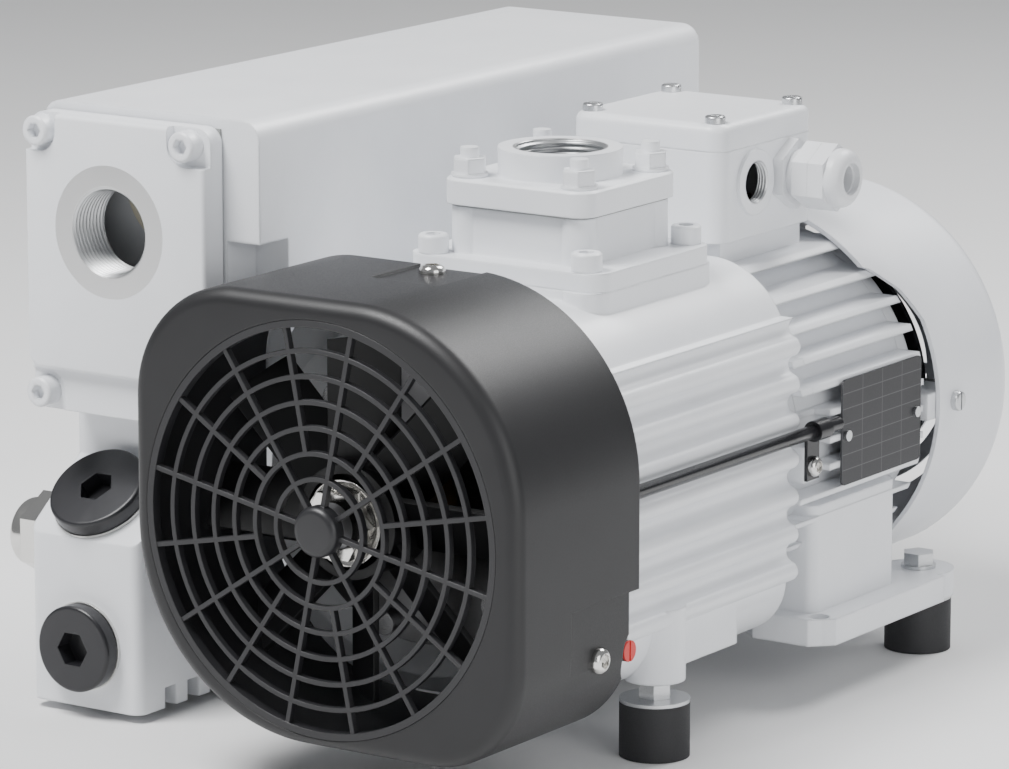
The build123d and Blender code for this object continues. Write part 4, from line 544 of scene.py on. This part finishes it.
# %% [markdown]
# ## Dressing the frame
# Each node of the frame keeps its shape and gets its finish. The list is read as a maker's parts list:
# which pieces are cast and painted, which are moulded, which are plated, and which are bare metal.

# %% Finish of each node
parts_by_finish = {
    casting_paint: [
        "oil_casing",
        "separator_box",
        "pump_housing",
        "valve_block",
        "motor_frame",
        "motor_front_shield",
        "motor_rear_shield",
        "terminal_lid",
        "m8_socket_screws",
        "inlet_stud_sets",
    ],
    cover_paint: ["exhaust_cover"],
    flange_paint: ["inlet_flange"],
    entry_paint: ["terminal_box"],
    sheet_paint: ["motor_cowl"],
    cowl_plastic: ["fan_cowl"],
    grille_plastic: ["fan_grille"],
    fan_plastic: ["pump_fan", "motor_fan"],
    plug_plastic: ["oil_fill_plug", "oil_drain_plug"],
    knob_finish: ["gas_ballast_knob"],
    gasket_fibre: ["flange_gaskets"],
    ring_aluminium: ["plug_seal_rings"],
    nickel: ["sight_glass_body", "dome_bolts", "gas_ballast_fitting", "fan_nut"],
    lens_glass: ["sight_glass_lens"],
    machined_iron: ["front_end_plate", "rear_end_plate", "pump_rotor", "motor_stator", "motor_rotor"],
    turned_steel: [
        "end_plate_screws",
        "motor_bearings",
        "suction_valve_spring",
        "exhaust_leaf",
        "exhaust_leaf_stop",
        "filter_retainer",
        "inlet_strainer",
    ],
    bronze: ["shaft_bushes_seals"],
    vane_composite: ["vane_1", "vane_2", "vane_3"],
    coupling_rubber: ["coupling_spider"],
    rubber: ["rubber_feet", "float_arm"],
    filter_cloth: ["exhaust_filters"],
    zinc: ["foot_hardware", "slotted_screws", "nameplate_rivets"],
    tube_plastic: ["air_tube", "tube_clip"],
    light_plastic: ["gland_body", "gland_cap"],
    plate_finish: ["nameplate"],
    board_plastic: ["terminal_board"],
    cast_aluminium: ["pump_coupling_hub", "motor_coupling_hub", "suction_valve_disc"],
}
for material, names in parts_by_finish.items():
    for name in names:
        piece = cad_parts[name]
        piece.data.materials.clear()
        piece.data.materials.append(material)
plain = set(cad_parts) - {name for names in parts_by_finish.values() for name in names}
print("nodes without a finish", plain)

# %% [markdown]
# ## Pipe threads
# A thread is a ridge wound round a cylinder. On a grid, one parameter runs along the winding and the
# other across it: the angle and the height grow along the winding, and the radius dips once per pitch.
# Making the thread as a surface keeps its bright, regular lines, which a bump would lose.


# %% Thread surface
def grid_mesh(name, points, material):
    """Mesh of quads from an array of points with shape rows, columns, 3. Points that meet at a seam or a
    closed end are merged."""
    rows, columns = points.shape[:2]
    index = np.arange(rows * columns).reshape(rows, columns)
    corners = (index[:-1, :-1], index[:-1, 1:], index[1:, 1:], index[1:, :-1])
    faces = np.stack([c.ravel() for c in corners], axis=1)
    mesh = bpy.data.meshes.new(name)
    mesh.from_pydata(points.reshape(-1, 3), [], faces)
    whole = bmesh.new()
    whole.from_mesh(mesh)
    bmesh.ops.remove_doubles(whole, verts=whole.verts, dist=1e-7)
    whole.to_mesh(mesh)
    whole.free()
    mesh.materials.append(material)
    mesh.shade_smooth()
    made = bpy.data.objects.new(name, mesh)
    bpy.context.scene.collection.objects.link(made)
    return made


def thread(name, mouth, inward, radius_mm, length_mm, pitch_mm, depth_mm, material):
    """Inside thread: along each row the radius is the wall less a ridge, a smooth wave of the height
    plus the angle's share of a pitch, so the ridge climbs one pitch in each turn."""
    around = np.linspace(0.0, 2 * np.pi, 97)
    along = np.linspace(0.0, length_mm, int(length_mm / pitch_mm * 12) + 1)
    angle, height = np.meshgrid(around, along)
    phase = 2 * np.pi * height / pitch_mm + angle
    fade = np.clip(np.minimum(height, length_mm - height) / 0.6, 0.0, 1.0)
    ridge = depth_mm * (0.5 + 0.5 * np.cos(phase)) ** 0.8 * fade
    radius = radius_mm - 0.03 - ridge
    axis = Vector(inward)
    first = axis.orthogonal().normalized()
    second = axis.cross(first)
    points = (
        radius[..., None] * (np.cos(angle)[..., None] * np.array(first) + np.sin(angle)[..., None] * np.array(second))
        + height[..., None] * np.array(axis)
    ) / 1000 + np.array(mouth)
    made = grid_mesh(name, points[:, ::-1], material)
    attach(made, "pump_body")
    return made


inlet_thread = thread("inlet_thread", at(8, 165, 135.4), (0, 0, -1), 19.475, 18.8, 2.309, 1.3, cast_aluminium)
exhaust_thread = thread("exhaust_thread", at(-150, 58.1, 98.4), (0, 1, 0), 19.475, 21.6, 2.309, 1.3, cast_aluminium)
entry_thread = thread("entry_thread", at(40.4, 270.7, 108), (-1, 0, 0), 9.25, 5.2, 1.5, 0.8, cast_aluminium)
for made in (inlet_thread, exhaust_thread, entry_thread):
    print(made.name, len(made.data.vertices))

# %% [markdown]
# ## The suction valve's spring
# A coil spring shortens when its valve opens, which a rigid piece can't show. The coil is a tube: a
# helix for its middle line, and a ring of points round that line. It is built at the full height of
# the frame's spring, which is hidden in its place.


# %% Coil spring
def coil_spring(name, foot, radius_mm, wire_mm, height_mm, turns, material):
    """Tube on a helix: the middle is the radius turned by the angle, rising evenly, and each point is
    the middle plus the wire's radius along a ring of the outward and upward directions. The wire's
    radius is nothing at both ends, which closes them."""
    angle = np.linspace(0.0, 2 * np.pi * turns, int(turns * 40) + 1)
    ring = np.linspace(0.0, 2 * np.pi, 13)
    wind, section = np.meshgrid(angle, ring, indexing="ij")
    thick = np.where((wind == 0.0) | (wind == angle[-1]), 0.0, wire_mm)
    reach = radius_mm + thick * np.cos(section)
    rise = wire_mm + (height_mm - 2 * wire_mm) * wind / angle[-1] + thick * np.sin(section)
    points = np.stack([reach * np.cos(wind), reach * np.sin(wind), rise], axis=-1) / 1000 + np.array(foot)
    return grid_mesh(name, points[:, ::-1], material)


coil_low, coil_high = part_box("suction_valve_spring")
coil_height = (coil_high[2] - coil_low[2]) * 1000
coil = coil_spring("suction_coil", at(8, 165, 89), 17.0, 0.8, coil_height, 4.0, turned_steel)
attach(coil, "pump_body")
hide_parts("suction_valve_spring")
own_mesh(coil)

# %% [markdown]
# ## Floor and lights
# A wide flat floor keeps the pump in sight from every side, which a wall behind it would not. A soft key
# light from the upper left, a fill from the right and a dim sky leave shade between the fins, so that
# white paint still shows its form.

# %% Floor
reach = np.linspace(-8.0, 8.0, 9)
across, along = np.meshgrid(reach, reach, indexing="ij")
sheet = np.stack([across, along, np.full_like(across, -0.0002)], axis=-1)
floor_material, tree, shader, place = new_material("floor_grey")
shader.inputs["Base Color"].default_value = (0.80, 0.80, 0.80, 1.0)
tree.links.new(span(tree, noise(tree, place, 60.0), 0.75, 0.85), shader.inputs["Roughness"])
floor = grid_mesh("floor", sheet, floor_material)


# %% Lights
def area_light(name, place_mm, size, power):
    """Square area light at a point, turned to face the pump."""
    lamp = bpy.data.lights.new(name, "AREA")
    lamp.size = size
    lamp.energy = power
    made = bpy.data.objects.new(name, lamp)
    made.location = at(*place_mm)
    aim = at(-40, 200, 0) - made.location
    made.rotation_euler = aim.to_track_quat("-Z", "Y").to_euler()
    bpy.context.scene.collection.objects.link(made)
    return made


area_light("key", (-500, -700, 1700), 0.8, 62.0)
area_light("fill", (1600, -500, 500), 1.2, 12.0)
area_light("back", (300, 1500, 1500), 0.9, 34.0)
world = bpy.data.worlds.new("sky")
bpy.context.scene.world = world
world.use_nodes = True
world.node_tree.nodes["Background"].inputs["Color"].default_value = (0.95, 0.97, 1.0, 1.0)
world.node_tree.nodes["Background"].inputs["Strength"].default_value = 0.30
print("lights ready")

# %% [markdown]
# ## Camera
# The camera stands to the front right and a little above, with a long lens, so that parallel edges stay
# nearly parallel.

# %% Camera
right = Vector((0.829, 0.559, 0.0))
up = Vector((-0.1153, 0.1709, 0.9785))
back = right.cross(up)
camera_data = bpy.data.cameras.new("camera")
camera_data.sensor_width = 36.0
camera_data.lens = 199.8
camera_data.clip_end = 50.0
camera = bpy.data.objects.new("camera", camera_data)
turned = Matrix((right, up, back)).transposed().to_4x4()
camera.matrix_world = Matrix.Translation(at(1290.4, -1778.9, 523.4)) @ turned
bpy.context.scene.collection.objects.link(camera)
bpy.context.scene.camera = camera
print("camera", [round(v, 3) for v in camera.location])
